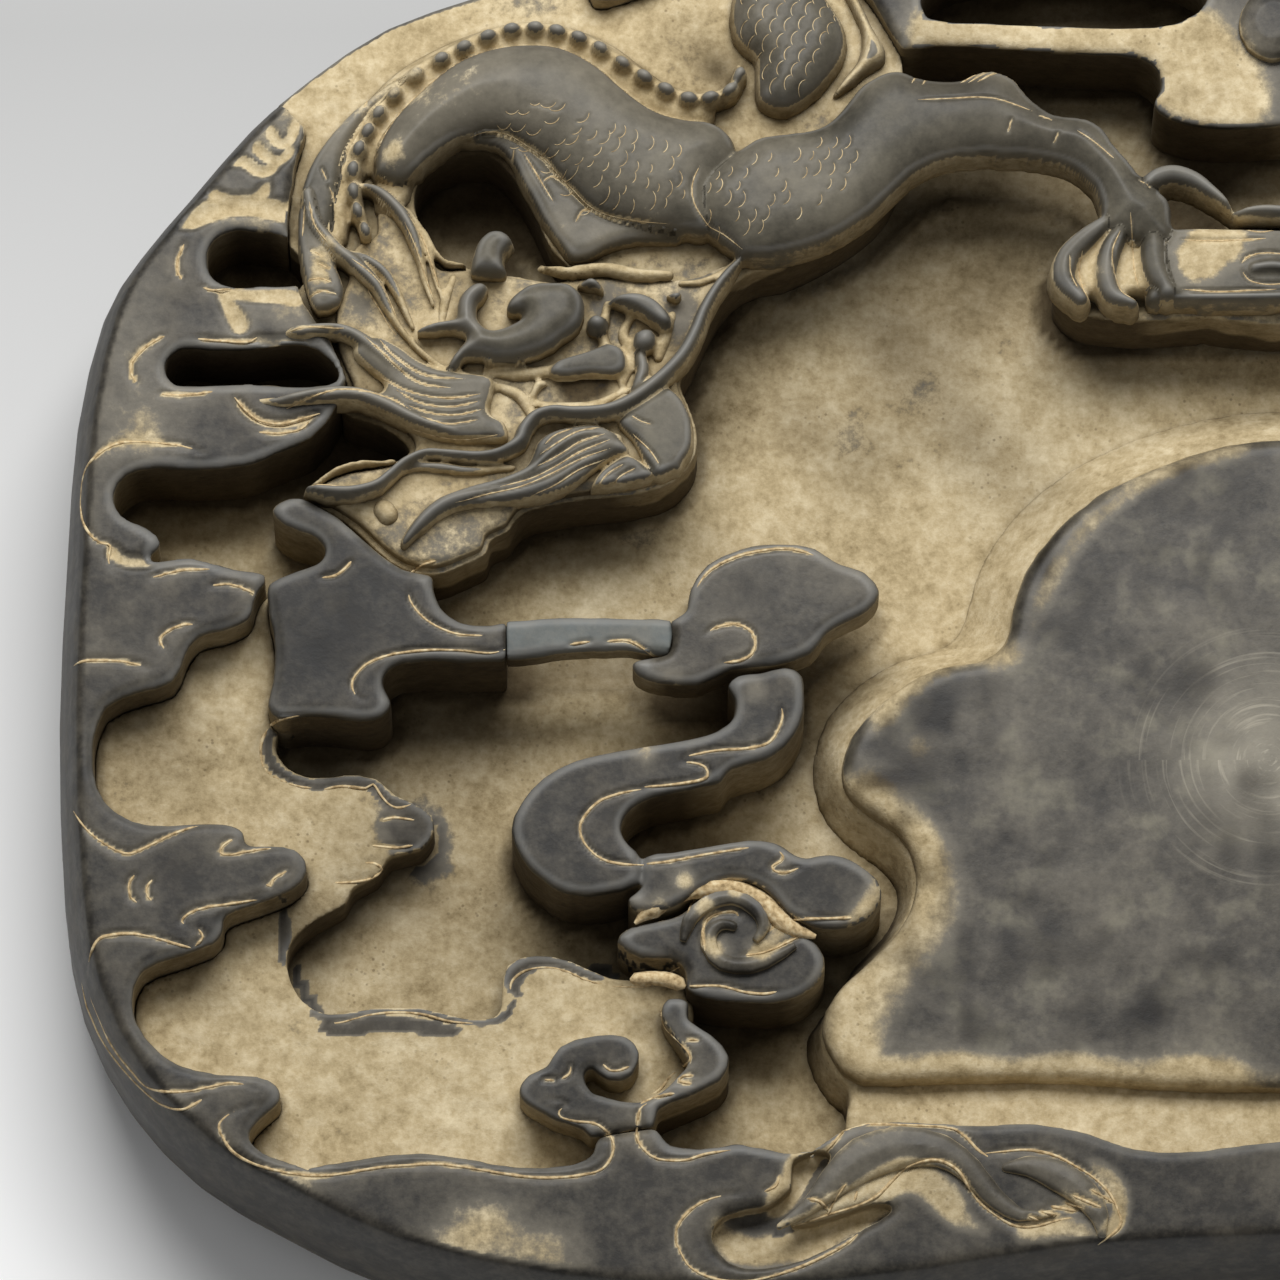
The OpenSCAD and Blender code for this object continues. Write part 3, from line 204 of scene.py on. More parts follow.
# The dragon's forms as outlines: piece, foot, top and width of the rounded edge in mm, marks
OUTLINES = [
    ("dragon_body", 45.0, 54.9, 11.0,
     "74.6,33 75,27.5 78,22 82,17.5 87,13 92,9.5 98,7.3 104,6.4 110,6.6 115,8.2 120,11.3 124,14.8 128,18 "
     "132,20.3 137,21.6 143,22.4 147,26 147,31 144.6,35 143.6,39 143,43 141,45.4 134,44.6 128,43.6 "
     "122,41.9 118,39.8 114.2,36 111,32.5 109,30 105,27.2 101,25.2 97,24.6 93,25.8 90,27.5 86,30.5 83,33.2 "
     "79,34.6"),
    ("dragon_belly", 41.5, 46.6, 3.0,
     "90,27.6 97,25 101,25.6 105,27.6 109,30.4 111,33 114.2,36.4 118,40.2 122,42.2 128,43.6 134,44.4 "
     "138,45 136,47.4 128,47.6 122,49 118,51 114,51.5 111.5,48.6 108.5,44.5 106,40 103.5,35.5 101.5,31 "
     "98.5,28.4 94,28"),
    ("dragon_back", 43.0, 47.6, 2.4,
     "89,9.4 82,12.6 76,16.2 70.4,20.2 66,24.8 62.4,29.8 60.3,34.4 59.3,39 58.9,44 59,50 60.2,56 62,61.2 "
     "64,61.8 67.6,60.4 68.4,56.4 66.8,51.8 66,47 66.4,42.6 66.8,38.4 67.9,34 68.7,30 71,25.6 74,21.6 "
     "78,18 83,14.2"),
    ("dragon_foreleg", 45.0, 54.6, 9.5,
     "138.6,40 138.4,36 140.4,33 144,30.4 148,27.8 152,25.4 158,24.5 163,23.7 166,22.2 169,19.2 172,15.4 "
     "175,13.3 178,12 181,11.9 184,13 188,13.8 192,13.8 195,12.5 198,11.7 201,12.2 204,13.7 206,16.2 "
     "209,19 212,20.7 216,21.2 219,21.8 222,23.8 224,26.8 227,30.2 229.5,33.6 231.5,35.4 234.8,38 235.6,42 "
     "235,47 230.5,48 225.5,46.6 221.5,45 220.6,42 220,39 218.4,35.6 214,32.4 208,30.9 201,30.3 195,30.3 "
     "190,31 185,33 181,36 176,41 170,45.3 164,48.3 156,50.3 150,50.4 146.5,48.8 142,45.4 139.6,42.6"),
    ("dragon_head", 46.5, 53.4, 4.6,
     "91,62.6 91.1,59.5 92.4,57 95,55.3 97.5,55.8 97.3,58 95.5,60 95.4,62.6 97.5,64.7 100.5,64.4 "
     "104.3,62.3 101.5,61.6 100.9,60.8 101.5,59 103.5,57 106,55.6 110,55.2 114,55.6 116.5,58 117,61.5 "
     "115.8,64.8 112.5,67.2 110,69.2 105,71 100,71.6 94,70.6 91.5,72.3 89.5,72.8 90,70.5 92,68 93,66.5 "
     "90,65.4 84,65.9 82.3,65.3 86,63.5"),
    ("dragon_horns", 43.5, 52.0, 3.4,
     "93.6,54.4 94,49.5 95.4,46.5 98,44.8 101,45.1 103,47.4 102,49.4 100.8,51 101,54.4"),
    ("dragon_snout", 42.5, 51.6, 2.0,
     "121,59.6 124,58 128,57.8 131.5,59.3 134,62 134.6,64.6 132.5,65.4 130,64 127,62 123.5,60.8"),
    ("dragon_snout", 42.5, 50.6, 2.6,
     "126.4,66 128.4,64.9 130.8,65.2 131.6,67.4 130.6,69.6 128.4,70.2 126.4,69"),
    ("dragon_snout", 42.5, 48.6, 2.0,
     "117,69.6 122,68 125,69.6 125.4,73.4 123,75.2 118,75 112.6,75.6 109.4,74.6 111,71.6"),
    ("dragon_snout", 42.5, 49.0, 1.4,
     "132,58.4 136.6,57.6 135.6,60"),
    ("dragon_mane", 42.0, 48.2, 2.6,
     "76,66.4 80,68.6 84,71.4 89,73.3 97,74.3 99,76 98.6,79 98,82 101,84 101.6,88 96,88.4 88,87.8 82,85.8 "
     "77,83 72,81.2 74,79 76.4,76.8 73,73.6 70,70.4 71.6,67.4"),
    ("dragon_beard", 42.0, 49.0, 2.8,
     "107,88 109.4,86 114,84.6 120,84.4 124,87 126.2,90 122.6,91.6 119,94 115,97 110,99.2 104,100.4 "
     "98,100.8 92,101.6 88,103.4 84.5,106.4 81,109.4 79.6,108.5 81,105.5 84,101.6 88,98.6 93,97 99,96 "
     "103,94.5 105.6,91.6"),
    ("dragon_beard", 42.0, 47.6, 1.8,
     "117.6,98 119,95 121.5,92.6 125.5,90.6 129,92.5 131,95.4 126,97"),
    ("dragon_jaw", 42.0, 48.4, 2.2,
     "125,82 129,79.4 133.4,77 136.4,79 138.4,82.6 139.2,87 138.2,91 135,94.4 131.4,95.6 128.6,92 126.4,88 "
     "123.4,84.6"),
    ("dragon_tail", 38.8, 51.0, 7.0,
     "147,-6 146,0 146.4,5 148.4,8 151,10.4 151,15 152,19.4 157,21.2 162,18.8 166,15 169.4,10 170,5 168,0 "
     "163,-6 155,-9"),
    ("dragon_tail", 38.8, 46.0, 3.0,
     "168.6,-4 170.6,0 172.6,5 172,10 169,14 166.5,18 170,16.6 174,13.4 177.6,11 177.8,8 175,3 172,-3"),
    ("dragon_claws", 43.0, 46.6, 2.0,
     "215.4,51.6 218.6,48 223,46 230,45.6 234,49 234.4,56.6 227,58.4 219,58.6 215,56"),
    ("pearl_bar", 39.5, 49.6, 3.0,
     "234.4,44.6 240,44.4 248,44.6 256,44.8 266,45.6 272,48 274,52.6 272,57.6 264,60 256,60.4 244,60.8 "
     "236,60.8 230,60.6 230,56 231.6,50"),
]

# The dragon's forms as strokes: piece, foot and top in mm, marks with half widths
STROKES = [
    ("dragon_spine", 40.0, 45.6,
     "66,46,3.4 66.6,38,3.8 70,30,4.6 75,23,4.8 81,16.6,4.8 88,12,4.6 96,8.4,4.4 104,6.6,4.2 112,7,4.2 "
     "120,10.4,4.4 127,15.6,4.4 134,20,4.2 140,21.6,3.4"),
    ("dragon_spine", 40.0, 45.4, "74,26,3.6 77,31,4.4 78.4,36,4 77,40,3"),
    ("dragon_snout", 42.5, 46.2, "97,73.8,1 104,74.4,1.5 110,73.4,1.3 114,71.6,0.9"),
    ("dragon_snout", 42.5, 46.0, "106,80,0.8 112,80.8,1.1 119,80.4,1.1 125,77.6,0.9"),
    ("dragon_snout", 42.5, 47.2, "121.4,60,1 120.6,67,1.4 123,72,1.2"),
    ("dragon_snout", 42.5, 46.4, "108,52.6,1 114,53.6,1.6 121,53,1.7 128,54.2,1.6 134,54,1.2"),
    ("dragon_snout", 42.5, 46.4, "126,63,1 124.6,66.4,1.3 126.4,71,1.2 124.4,76,1.2"),
    ("dragon_snout", 42.5, 46.2, "134.6,62,0.9 133,67,1.4 131.6,71,1.2"),
    ("dragon_mane", 42.5, 45.8, "98.6,76.4,1 103.6,78.6,1.5 106,82,1.3"),
    ("dragon_mane", 42.5, 45.6, "90.4,54.6,0.9 88.6,60,1.2 88,64.4,0.9"),
    ("dragon_beard", 42.0, 46.0, "76.6,101.6,2.4 77.4,102.6,2.4"),
    ("dragon_mane", 42.5, 49.6,
     "61,38,1.6 62.6,44,1.8 66.5,48.7,1.8 71,52.4,1.8 75,56.5,1.6 77.4,61,1.2 80,65,0.9 84,69.4,0.9 "
     "88.5,72.6,0.8 94,74.2,0.5"),
    ("dragon_mane", 42.5, 49.2,
     "68,49,0.8 72.5,50.8,1.3 76.5,53.7,1.4 79,57.6,1.2 80.8,61.5,1 82.4,64.8,0.6"),
    ("dragon_mane", 42.5, 49.6,
     "70.6,35.8,0.9 74,36.6,1.3 77.4,39.2,1.6 80.6,43,1.7 82.6,47.5,1.5 84,52,1.1 85,56,0.9 86.4,60,0.5"),
    ("dragon_mane", 42.5, 48.6, "80,40,0.7 83.6,44.6,0.8 85.6,50,0.8 87,55.4,0.7 88.4,59.4,0.5"),
    ("dragon_mane", 42.5, 48.4, "81.4,40.6,0.6 84.8,45,0.8 87,49.2,0.9 89.4,51.4,0.9 92.6,51.6,0.7"),
    ("dragon_mane", 40.0, 49.4,
     "56,66.2,0.9 60,65.8,1.7 66,65.4,1.7 70,66.4,1.9 74,69,2 78,72.3,1.8 82,74.9,1.4 86,76.6,1.1 "
     "95,77.8,0.6"),
    ("dragon_mane", 40.0, 49.2, "71.4,65.2,0.8 75.6,67.6,1.2 79.6,71,1.2 84,73.7,1 90,75,0.8 96,75.6,0.5"),
    ("dragon_mane", 40.0, 49.0, "73.6,72,0.7 78,75.2,1.1 83,77.3,1.1 89,78.6,0.9 96,78.9,0.5"),
    ("dragon_mane", 40.0, 50.0,
     "50,79.6,0.9 56,79.9,1.4 62,78.9,2 67,78.5,2.2 72,78.9,2.2 77,80.8,2.2 82,83.4,1.9 87,85.2,1.6 "
     "92,86,1.3 100,86,0.8"),
    ("dragon_mane", 42.0, 49.0, "78,78.2,0.7 83,80.4,1.1 89,81.6,1.1 96.6,81,0.7"),
    ("dragon_mane", 42.0, 48.9, "82,81.6,0.7 87,83,1 92,83.4,1 97,82.6,0.7"),
    ("dragon_jaw", 42.0, 51.2,
     "148,51,0.9 145.6,54.4,1.5 143,58,1.7 140.8,62,1.8 139.2,66,1.9 136.8,70.4,2 133.4,74.2,2 "
     "129.4,77.6,2 125.4,80.2,1.9 121,81.8,1.8 115,82.2,1.7 110.4,81.9,1.6 107,83,1.7 104.8,85.6,1.9 "
     "103.8,88,1.8 100.6,89.9,1.5 96,90.6,1.3 90,90.1,1.2 85,89.9,1.2 81,91.7,1.3 78,94.6,1.5 75,97,1.6 "
     "70,98.2,1.7 65,98,1.8 61.4,97.4,1.2"),
    ("dragon_jaw", 42.0, 48.0,
     "74.6,97.4,0.7 78.4,94.8,1 82.6,92.9,1.1 88,93,1.2 94,93.6,1.1 102.6,92.8,0.8"),
    ("dragon_jaw", 42.0, 47.0, "62.6,96,0.8 67,93.4,1.1 72,92,1.1 78.6,91.4,0.8"),
    ("dragon_jaw", 42.5, 48.6, "128,70.4,1.3 128.6,73.6,1.7 127.4,77.6,1.6"),
    ("dragon_jaw", 42.5, 47.4, "136,55.6,0.7 140,55.5,0.9 144,53.8,0.9 147,51.6,0.8"),
    ("dragon_jaw", 42.0, 49.6, "129.4,83.6,0.8 133.4,85.6,1.1 136.4,89.4,1.2 135.6,93.4,1"),
    ("dragon_jaw", 42.0, 49.0, "124.6,84,0.8 129,88,1 131.4,92.4,1.1"),
    ("dragon_snout", 42.5, 50.6, "116,56.2,0.9 118.4,55.9,1.4 120.4,57.2,0.8"),
    ("dragon_snout", 42.5, 48.0, "106.4,78.4,0.9 107.6,76.2,1.1 109,76,0.7"),
    ("dragon_eye", 42.5, 51.8, "119.2,64.2,2.3 119.5,64.3,2.3"),
    ("dragon_spine", 39.5, 46.6,
     "72.4,45,1.5 70.8,40,1.7 70.4,34,1.8 72.4,26.5,1.9 76.4,20,1.9 82,14,1.9 88.4,10.1,1.9 96,6.4,1.9 "
     "104,4.3,1.9 112,5,1.9 119,8,1.9 126,12.6,2 133,17,2 140,18.8,2 145.6,17.6,2 148,14.4,1.6 148,12,1.2"),
    ("dragon_beard", 42.0, 50.0,
     "124,86.6,0.8 120,86.2,1.3 115,87.2,1.6 110.6,90,1.6 106.6,93.6,1.5 101,96,1.4 94,97.8,1.3 "
     "88.6,100,1.3 84.6,103.4,1.2 81,108.4,0.7"),
    ("dragon_beard", 42.0, 49.8,
     "124.6,89.6,0.8 119.6,90.4,1.4 115,93.4,1.5 109.6,96.6,1.5 103,98.6,1.4 96,99.6,1.2"),
    ("dragon_claws", 40.0, 50.8, "223,43.4,2.4 218,47,3.1 214.2,51,3.4 213.4,55.6,3.2 216.6,59.6,2.4"),
    ("dragon_claws", 40.0, 51.2, "226,44,2.4 223,49,3 221.8,54,3 223,58.6,2.8 227,60.6,1.8"),
    ("dragon_claws", 40.0, 51.6, "231,43,3.2 231.4,48,3.6 232,53.4,3.6 234,58,2.8"),
    ("dragon_claws", 40.0, 51.4,
     "229.6,37,2.2 232,35,2.8 235.6,34.2,2.9 239.6,35.4,2.7 243,37.8,2.2 245.8,40.2,1.6 247.8,42.6,0.9"),
    ("pearl_bar", 39.5, 51.4, "235.4,59,1.3 244,59.4,1.5 256,59.2,1.5 266,58.6,1.4"),
    ("pearl_bar", 39.5, 51.2, "236.4,45.4,0.9 244,45.6,1.1 256,45.6,1.1 264,46.4,1"),
    ("pearl_bar", 39.5, 51.8, "248.4,42.4,1.4 254,41.8,2 262,42.4,1.8"),
    ("pearl_bar", 39.5, 51.6, "251.6,53.6,1.8 255,53.2,2.3 259,53.6,1.8"),
]

# Below these heights a piece is buried in dust
BURIED = {
    "dragon_spine": 48.2,
    "dragon_claws": 47.8,
    "dragon_beard": 46.4,
    "dragon_mane": 46.9,
    "dragon_snout": 47.0,
    "dragon_jaw": 45.6,
    "dragon_tail": 45.6,
}

# Pieces with more of a film of dust on them
FILMED = {
    "dragon_body": 0.07,
    "dragon_mane": 0.18,
    "dragon_beard": 0.1,
    "dragon_head": 0.04,
    "dragon_spine": 0.06,
}

# Middles of the plates along the spine
PLATES = (
    "72.6,45 71,41 70.2,37 70.2,32.6 71.4,28.4 73.2,24.8 75.4,21.2 78.6,17.4 82.8,13.4 88,10.2 92.6,7.8 "
    "97.4,5.6 102.2,4.2 107,3.9 111.4,4.6 115.8,6 120.2,8.2 124.6,11.2 129,14 133.4,16.6 138,18.4 "
    "142.4,18.2 146.4,16.6 148.2,13.4"
)

# Fine lines cut in the dragon: hair, belly plates, edges of the body and the haunch
HAIR_LINES = [
    "61.4,39.6 62.4,44 65,47.6", "70,51.2 74,54 77,57.6 79,62", "73.2,56.2 75.6,60 78,64 81,67.6 84.6,71",
    "80.6,43.6 82.8,48.4 84.6,53.4 86.4,58.2", "81,41.6 84.2,46 86,51 87.6,56", "57,65.4 62,64.9 69,65.2",
    "72.6,66.8 76,69.8 79.6,73.2 84,76 90,77", "75.4,66.8 78,70 82,73 86,74.6 93,75.2",
    "76,74.4 80,77 85,78.5 90,79 96,78.2", "79,77.4 84,80 90,80.7 96,79.6", "81,80.4 86,82 91,82.4 96.6,81.2",
    "84,83 89,84.2 95.4,83.4", "82,84.5 87,86.1 93,86.8 100,86.2",
    "57,80.6 63,78.7 68,77.6 72,77.8 76,78.6 79,79.7 82,81.6", "62,97 68,96.8 73,95.4 77,92.8",
    "64.6,94.4 68.4,92.8 73,92", "79.4,95.6 83,93.2 88,94.2 96,94.6", "109,88.4 111,86.5 114.5,85",
    "108,90.5 112,88 116,85.8 120,84.9", "107.4,93 112,90.5 116,88 121,86.4",
    "100,97 106,95.4 111,93 116,90 122,87.6", "91,100 97,98.5 104,97 110,94.5 116,91.5 122,89.3",
    "106,98.5 111,96.5 116,93.4 121,91", "119,97 121.6,94 124.6,92.2", "121.6,97 124,94.6 127,93",
    "126,82.4 128,83.6 130.4,84.4", "126.6,86 130,89.6 132,92.6",
    "93.4,26 97,24.9 101,25.4 105,27.5 109,30.3 111,32.8 114.2,36.2 118,40 122,42 128,43.4 134,44.2",
    "75,28.6 78,22.6 82,18 87,13.5 92,10 98,7.8 104,6.9 110,7.1 115,8.8 120,11.9 124,15.4 128,18.6 132,20.8 137,22.4",
    "102.6,28 102.4,30.6 103.4,33", "108.4,34.8 110,33.6 112,34", "115,43 116.4,40.6 118.4,40.2",
    "104.4,28.6 107.4,33.6 110.6,39", "140,33.6 138.6,37 138.9,41 141.4,44.2 145,46.6 148.6,49.4",
    "184,20.4 190,20 196,19.8 201,20.4 207,22.2", "208.5,23 211,23.8", "216,26.4 220,29 223.4,31.8",
    "228.4,35.6 230.6,37", "202.8,24.4 202.2,26.4", "212.2,27 211.4,28.6", "184,13.4 182.8,16.4",
    "186,14 185,16.6", "197.4,12.6 192.6,16", "198.8,12.9 194.2,16.2", "200.2,13.4 196,16.3",
    "214.4,50.8 214.6,54 216,57.4", "217,49.6 216.4,53 217.6,57.6 219,60",
    "224.6,46 223,50 223.6,54.6 226,58.8 229.6,60", "226.6,43 227.2,48 227.6,53 228.8,57.6",
    "249,52.2 250.4,50.8 254,50 258,50.4", "249,53.6 250.6,55.6 254,56.4 258,56.2",
    "237,57.4 244,57.8 256,57.4", "237,47.4 244,47.6 254,47.2", "250,44.8 253,45.6 256,44.6",
    "73,17.6 72.4,19.6", "63.8,32.4 64.8,34.6", "65.4,36 66.4,38.6", "60.4,40 60,46",
    "61,55 63.6,54.6 66,55.4", "61.4,58 64,57.2 67.4,57.8", "63,51.4 65.4,52.6", "62,49 64,50",
]

# Places with more or less dust: x, y, reach in mm, and how much they gain or lose
DUST_PATCHES = (
    "200,45,16,0.3 170,112,16,0.3 150,92,12,0.25 215,5,16,0.9 190,5,10,0.8 240,12,12,0.9 248,20,8,0.8 "
    "233,6,10,0.8 210,9,8,0.5 225,9,8,0.5 62,20,12,0.6 75,10,10,0.5 50,27,6,0.3 52,43,6,0.5 42,42,5,0.4 "
    "47,63,4,0.6 57,61,6,0.6 30,57,7,0.22 22,66,8,0.2 27,86,6,0.35 18,84,9,0.16 14,104,9,0.16 40,30,8,0.2 "
    "14,128,8,0.14 60,238,6,0.46 98,244,8,0.5 110,250,8,0.52 90,248,7,0.46 112,152,5,0.4 120,149,4,0.4 "
    "82,164,6,-0.9 84,168,5,-0.6 190,15,7,0.5 196,15,6,0.4 241,52,6,0.8 247,50,5,0.5 240,56,4,0.4 "
    "220,56,3,0.4 28,128,9,0.12 64,52,4,0.5 64,57,4,0.5 78,33,3.4,0.5 124,13,5,0.2 170,222,10,0.3 "
    "140,224,8,0.2 20,190,7,0.15 24,150,6,0.12 104,158,3,0.6 107,154,3,0.65 112,151,3.4,0.65 "
    "118,149,3,0.65 124,148,3,0.6 129,150,3,0.6 128,147,3,0.6 134,143,3,0.5 151,138,3,0.5 137,176,2.5,0.7 "
    "141,181,2.5,0.7 143,189,3,0.75 152,190,3,0.75 147,178,2.4,0.7 132,181,3,0.6 127,185,3,0.6 "
    "156,186,3,0.6 172,163,6,0.5 180,174,7,0.6 174,186,6,0.6 168,198,5,0.55 170,212,6,0.55 190,216,8,0.5 "
    "215,216,8,0.45 240,216,8,0.45 184,150,4,0.4 112,47,4,0.35 104,38,3,0.3 120,48,4,0.35 130,46,4,0.3 "
    "126,224,5,0.2 78,220,5,0.16 186,76,10,-0.26 206,66,8,-0.24 170,88,8,-0.24 184,92,6,-0.2 180,62,5,-0.2 "
    "216,78,6,-0.2 98,20,15,0.2 84,22,8,0.12 120,26,10,0.12 156,34,10,0.1 196,24,14,-0.22 30,81,12,0.1 "
    "24,60,12,0.1 218,32,8,-0.14 150,8,8,0.1 64,14,10,0.3 128,105,5,-0.4 136,64,4,-0.25 120,73,6,-0.2 "
    "104,50,5,0.2 86,94,5,0.1"
)

# Painted shade: places darkened as if shade fell there, in holes, slots, pools and under overhangs, and with a
# negative strength painted light where a cast shadow falls too dark: x, y, reach in mm, strength
SHADE_PATCHES = (
    "186,76,15,0.5 172,92,10,0.35 206,98,12,0.3 178,66,9,0.35 160,84,8,0.35 196,62,9,0.3 214,62,10,0.4 "
    "196,88,9,0.3 225,68,9,0.4 215,219,14,-0.35 190,219,10,-0.3 88,146,13,0.55 100,141,10,0.45 "
    "78,148,7,0.35 64,149,6,0.9 138,140,6,0.95 146,141,4,0.8 92,40,11,0.95 98,36,9,0.8 104,44,8,0.8 "
    "50,73,14,0.9 40,72,8,0.8 62,73,7,0.8 50,45,6,0.5 74,88,9,0.7 60,94,12,0.45 40,94,9,0.45 30,97,8,0.4 "
    "122,181,4,0.9 133,164,8,0.5 150,204,9,0.6 142,206,8,0.6 190,12,8,0.4 206,13,8,0.4 222,14,8,0.4 "
    "240,30,10,0.5 250,32,10,0.5 241,40,6,0.95 190,50,14,0.3 205,52,9,0.35 118,100,9,0.5 106,108,9,0.4 "
    "142,82,8,0.3 148,66,8,0.3 84,178,22,0.42 62,185,8,0.3 110,170,10,0.3 120,186,9,0.3 168,190,8,0.2 "
    "140,9,6,0.35 144,13,4,0.7 30,148,16,0.45 60,128,8,0.25 40,196,10,0.25 240,4,10,0.5 200,2,16,0.6 "
    "225,1,12,0.6 115,77.6,4,1.3 120,77,3,1 104,75,5,0.3 126,62,4,0.4 134,68,4,0.4 118,60,4,0.3 "
    "96,66,4,0.3 110,90,4,0.4 88,92,6,0.2 160,140,12,0.2 86,55,5,0.25 92,55,4,0.3"
)

# Darker patches on the rubbed tops, partly the stone's own darker mottling and partly painted shade where a top lies
# out of the lamp's sheen: x, y, reach in mm, strength
STAINS_AND_SHADE = (
    "68,122,12,0.6 80,112,7,0.4 62,132,7,0.5 186,22,8,0.5 196,26,7,0.45 212,28,8,0.45 28,128,6,0.35 "
    "40,120,6,0.2 24,152,4,0.3 34,172,9,0.3 150,112,9,0.2 64,248,10,0.25 150,244,9,0.25 226,236,12,0.2 "
    "190,232,8,0.25 24,186,5,0.3 22,200,5,0.3 118,150,6,-0.2 180,150,7,0.45 188,140,6,0.35 196,152,8,0.4 "
    "182,196,9,0.45 192,206,8,0.4 200,172,8,0.35 186,172,7,0.4 212,190,8,0.3 230,206,9,0.4 246,200,9,0.4 "
    "214,208,6,0.35 250,178,7,0.3 216,112,9,0.25 236,98,9,0.25 218,132,7,0.25 206,190,4,-0.15 "
    "228,176,8,0.2"
)

# Bands of dust along an edge: marks, half width in mm, amount
DUST_BANDS = [
    ("206,129 200,131 192,132.6 185,135 179,140 174,147", 3.4, 0.62),
    ("172,154 173,161 177,168 182,176 182,184 177,191 172,199 168,207 168,213", 8.5, 0.62),
    ("143,242 144,246 149,249 156,248.6 163,246.4 169,242 174,238 179,235 184,235.4 188,238.6 191,242 "
     "196,245",
     3.4, 0.85),
    ("162,229 159,233 156.6,238 154,242", 2.2, 0.8),
    ("216,248 221,245 223.6,240 222,235 217,231", 1.8, 0.55),
    ("203,246 212,245 218,246", 2.6, 0.5),
    ("168,214 180,215.4 195,216 215,216 235,216 256,215.6", 4.6, 0.66),
    ("206,128 208,121 212,113 218,105 226,98 236,93 246,90 256,88.6", 2.6, 0.5),
]

# Dust packed in narrow gaps: marks, height and radius in mm
PACKED = [
    ("127,184.4 131,180.8 136,178.4 142,177.4 148,177.8 152,179.8 155,182.8 158,185.2 163,187", 43.4, 2.4),
    ("126,195.6 130,195.2 134,195.6 137,197", 43.0, 1.6),
]

# Narrow hollows: marks, half width and depth in mm
SCOOPS = [
    ("35.6,44.6 39,42.4 44,40.6 49,40.2 54,41 59,42.6", 2.0, 1.5),
    ("41,37.6 44.6,39.2 48.6,39.6 51.6,38.2 53,35.6", 1.3, 1.1),
    ("45,31.6 48,31.4 50.6,33.2 52.8,33.4 55.4,31", 1.2, 1.1),
    ("50.2,28 52.6,30.4 55.6,31 58,28.6", 1.1, 1.0),
    ("53,24.4 55,27.6 57.4,27 58.6,23", 1.0, 1.0),
    ("44,57.6 50,58.4 56,58.6 60,59.6", 1.6, 1.0),
    ("44,57.6 45.4,61 48,65.6", 1.6, 0.9),
    ("50,67.4 56,68 62,67.6", 1.1, 0.7),
    ("46.5,79.4 50,83 55,84.6 60,84 64,82.6", 1.0, 0.7),
    ("22,109.8 24.5,112 30,112.4", 1.4, 1.0),
]

# Edges where the dark stone shows: marks and half width in mm
BARE_EDGES = [
    ("66,141.4 60,141.8 56.5,143.4 53.8,146.4 53,150 55,153.8 59,156.2 64,156.8 70,156.2 75,157.4 "
     "77.5,160.4 82,161.4 86,163.4 89,167",
     1.0),
    ("57.4,176 56.8,184 57,190 59,196 62.6,201.2 67,203.6 72,203 78,201.4 84,201.6 90,203 97,203.8 101,203 "
     "103,200",
     1.1),
    ("104,199 102.6,197 103.4,194.4 106.4,192.2 111,191.6 116,193.2 121,194.8 127,195.2 132,193.8 "
     "136,191.4",
     1.9),
    ("64,205.4 70,205.6 76,204.6 84,205 92,206", 1.4),
]

# The pieces cut as one relief, with the height of their undersides in mm
RELIEF = {
    "dragon_body": 38.8, "dragon_belly": 38.4, "dragon_back": 38.8, "dragon_foreleg": 40.0,
    "dragon_claws": 38.8, "dragon_tail": 38.8, "dragon_spine": 38.8, "dragon_head": 42.4,
    "dragon_horns": 42.4, "dragon_snout": 42.4, "dragon_eye": 42.4, "dragon_jaw": 41.0, "dragon_mane": 40.0,
    "dragon_beard": 41.0, "pearl_bar": 38.8,
}


def linear(code):
    """The linear colour of an sRGB hex value."""
    parts = [int(code[i:i + 2], 16) / 255 for i in (1, 3, 5)]
    return tuple(c / 12.92 if c <= 0.04045 else ((c + 0.055) / 1.055) ** 2.4 for c in parts)


def marks(text):
    """Numbers written as 'x,y x,y ...', one row to each mark."""
    return np.array([[float(v) for v in mark.split(",")] for mark in text.split()])


def over_rim(points):
    """Places of sheet marks on the plane of the rim's top, in mm."""
    points = np.atleast_2d(points)
    return np.stack([
        (points[:, 0] - SHEET_X) * ACROSS,
        (SHEET_Y - points[:, 1]) * DOWN,
        np.full(len(points), RIM_TOP),
    ], axis=1)


def at_height(points, z):
    """Places of sheet marks that lie at a height, in mm."""
    place = over_rim(points)
    place[:, 1] += LEAN * (RIM_TOP - z)
    place[:, 2] = z
    return place


def smooth_path(points, step=0.8):
    """A smooth path through marks, with a point every step."""
    p = np.vstack([2 * points[0] - points[1], points, 2 * points[-1] - points[-2]])
    out = []
    for i in range(1, len(p) - 2):
        count = max(2, int(np.linalg.norm(p[i + 1] - p[i]) / step) + 1)
        t = np.linspace(0, 1, count, endpoint=False)[:, None]
        a, b, c, d = p[i - 1], p[i], p[i + 1], p[i + 2]
        out.append(0.5 * (2 * b + (c - a) * t + (2 * a - 5 * b + 4 * c - d) * t ** 2
                          + (3 * b - a - 3 * c + d) * t ** 3))
    out.append(p[-2][None])
    return np.vstack(out)


def step_between(low, high, value):
    """A soft step from 0 at one value to 1 at the other."""
    t = np.clip((value - low) / (high - low), 0, 1)
    return t * t * (3 - 2 * t)


def blank(value=0.0):
    """A grid with one value in every cell."""
    return np.full(SHAPE, value)


def read(grid, xy):
    """Values of a grid at places in mm, blended between its cells."""
    at = np.clip((xy - LOW) / CELL, 0, np.array(SHAPE) - 1.001)
    i = at.astype(int)
    f = at - i
    a = grid[i[:, 0], i[:, 1]] * (1 - f[:, 0]) + grid[i[:, 0] + 1, i[:, 1]] * f[:, 0]
    b = grid[i[:, 0], i[:, 1] + 1] * (1 - f[:, 0]) + grid[i[:, 0] + 1, i[:, 1] + 1] * f[:, 0]
    return a * (1 - f[:, 1]) + b * f[:, 1]


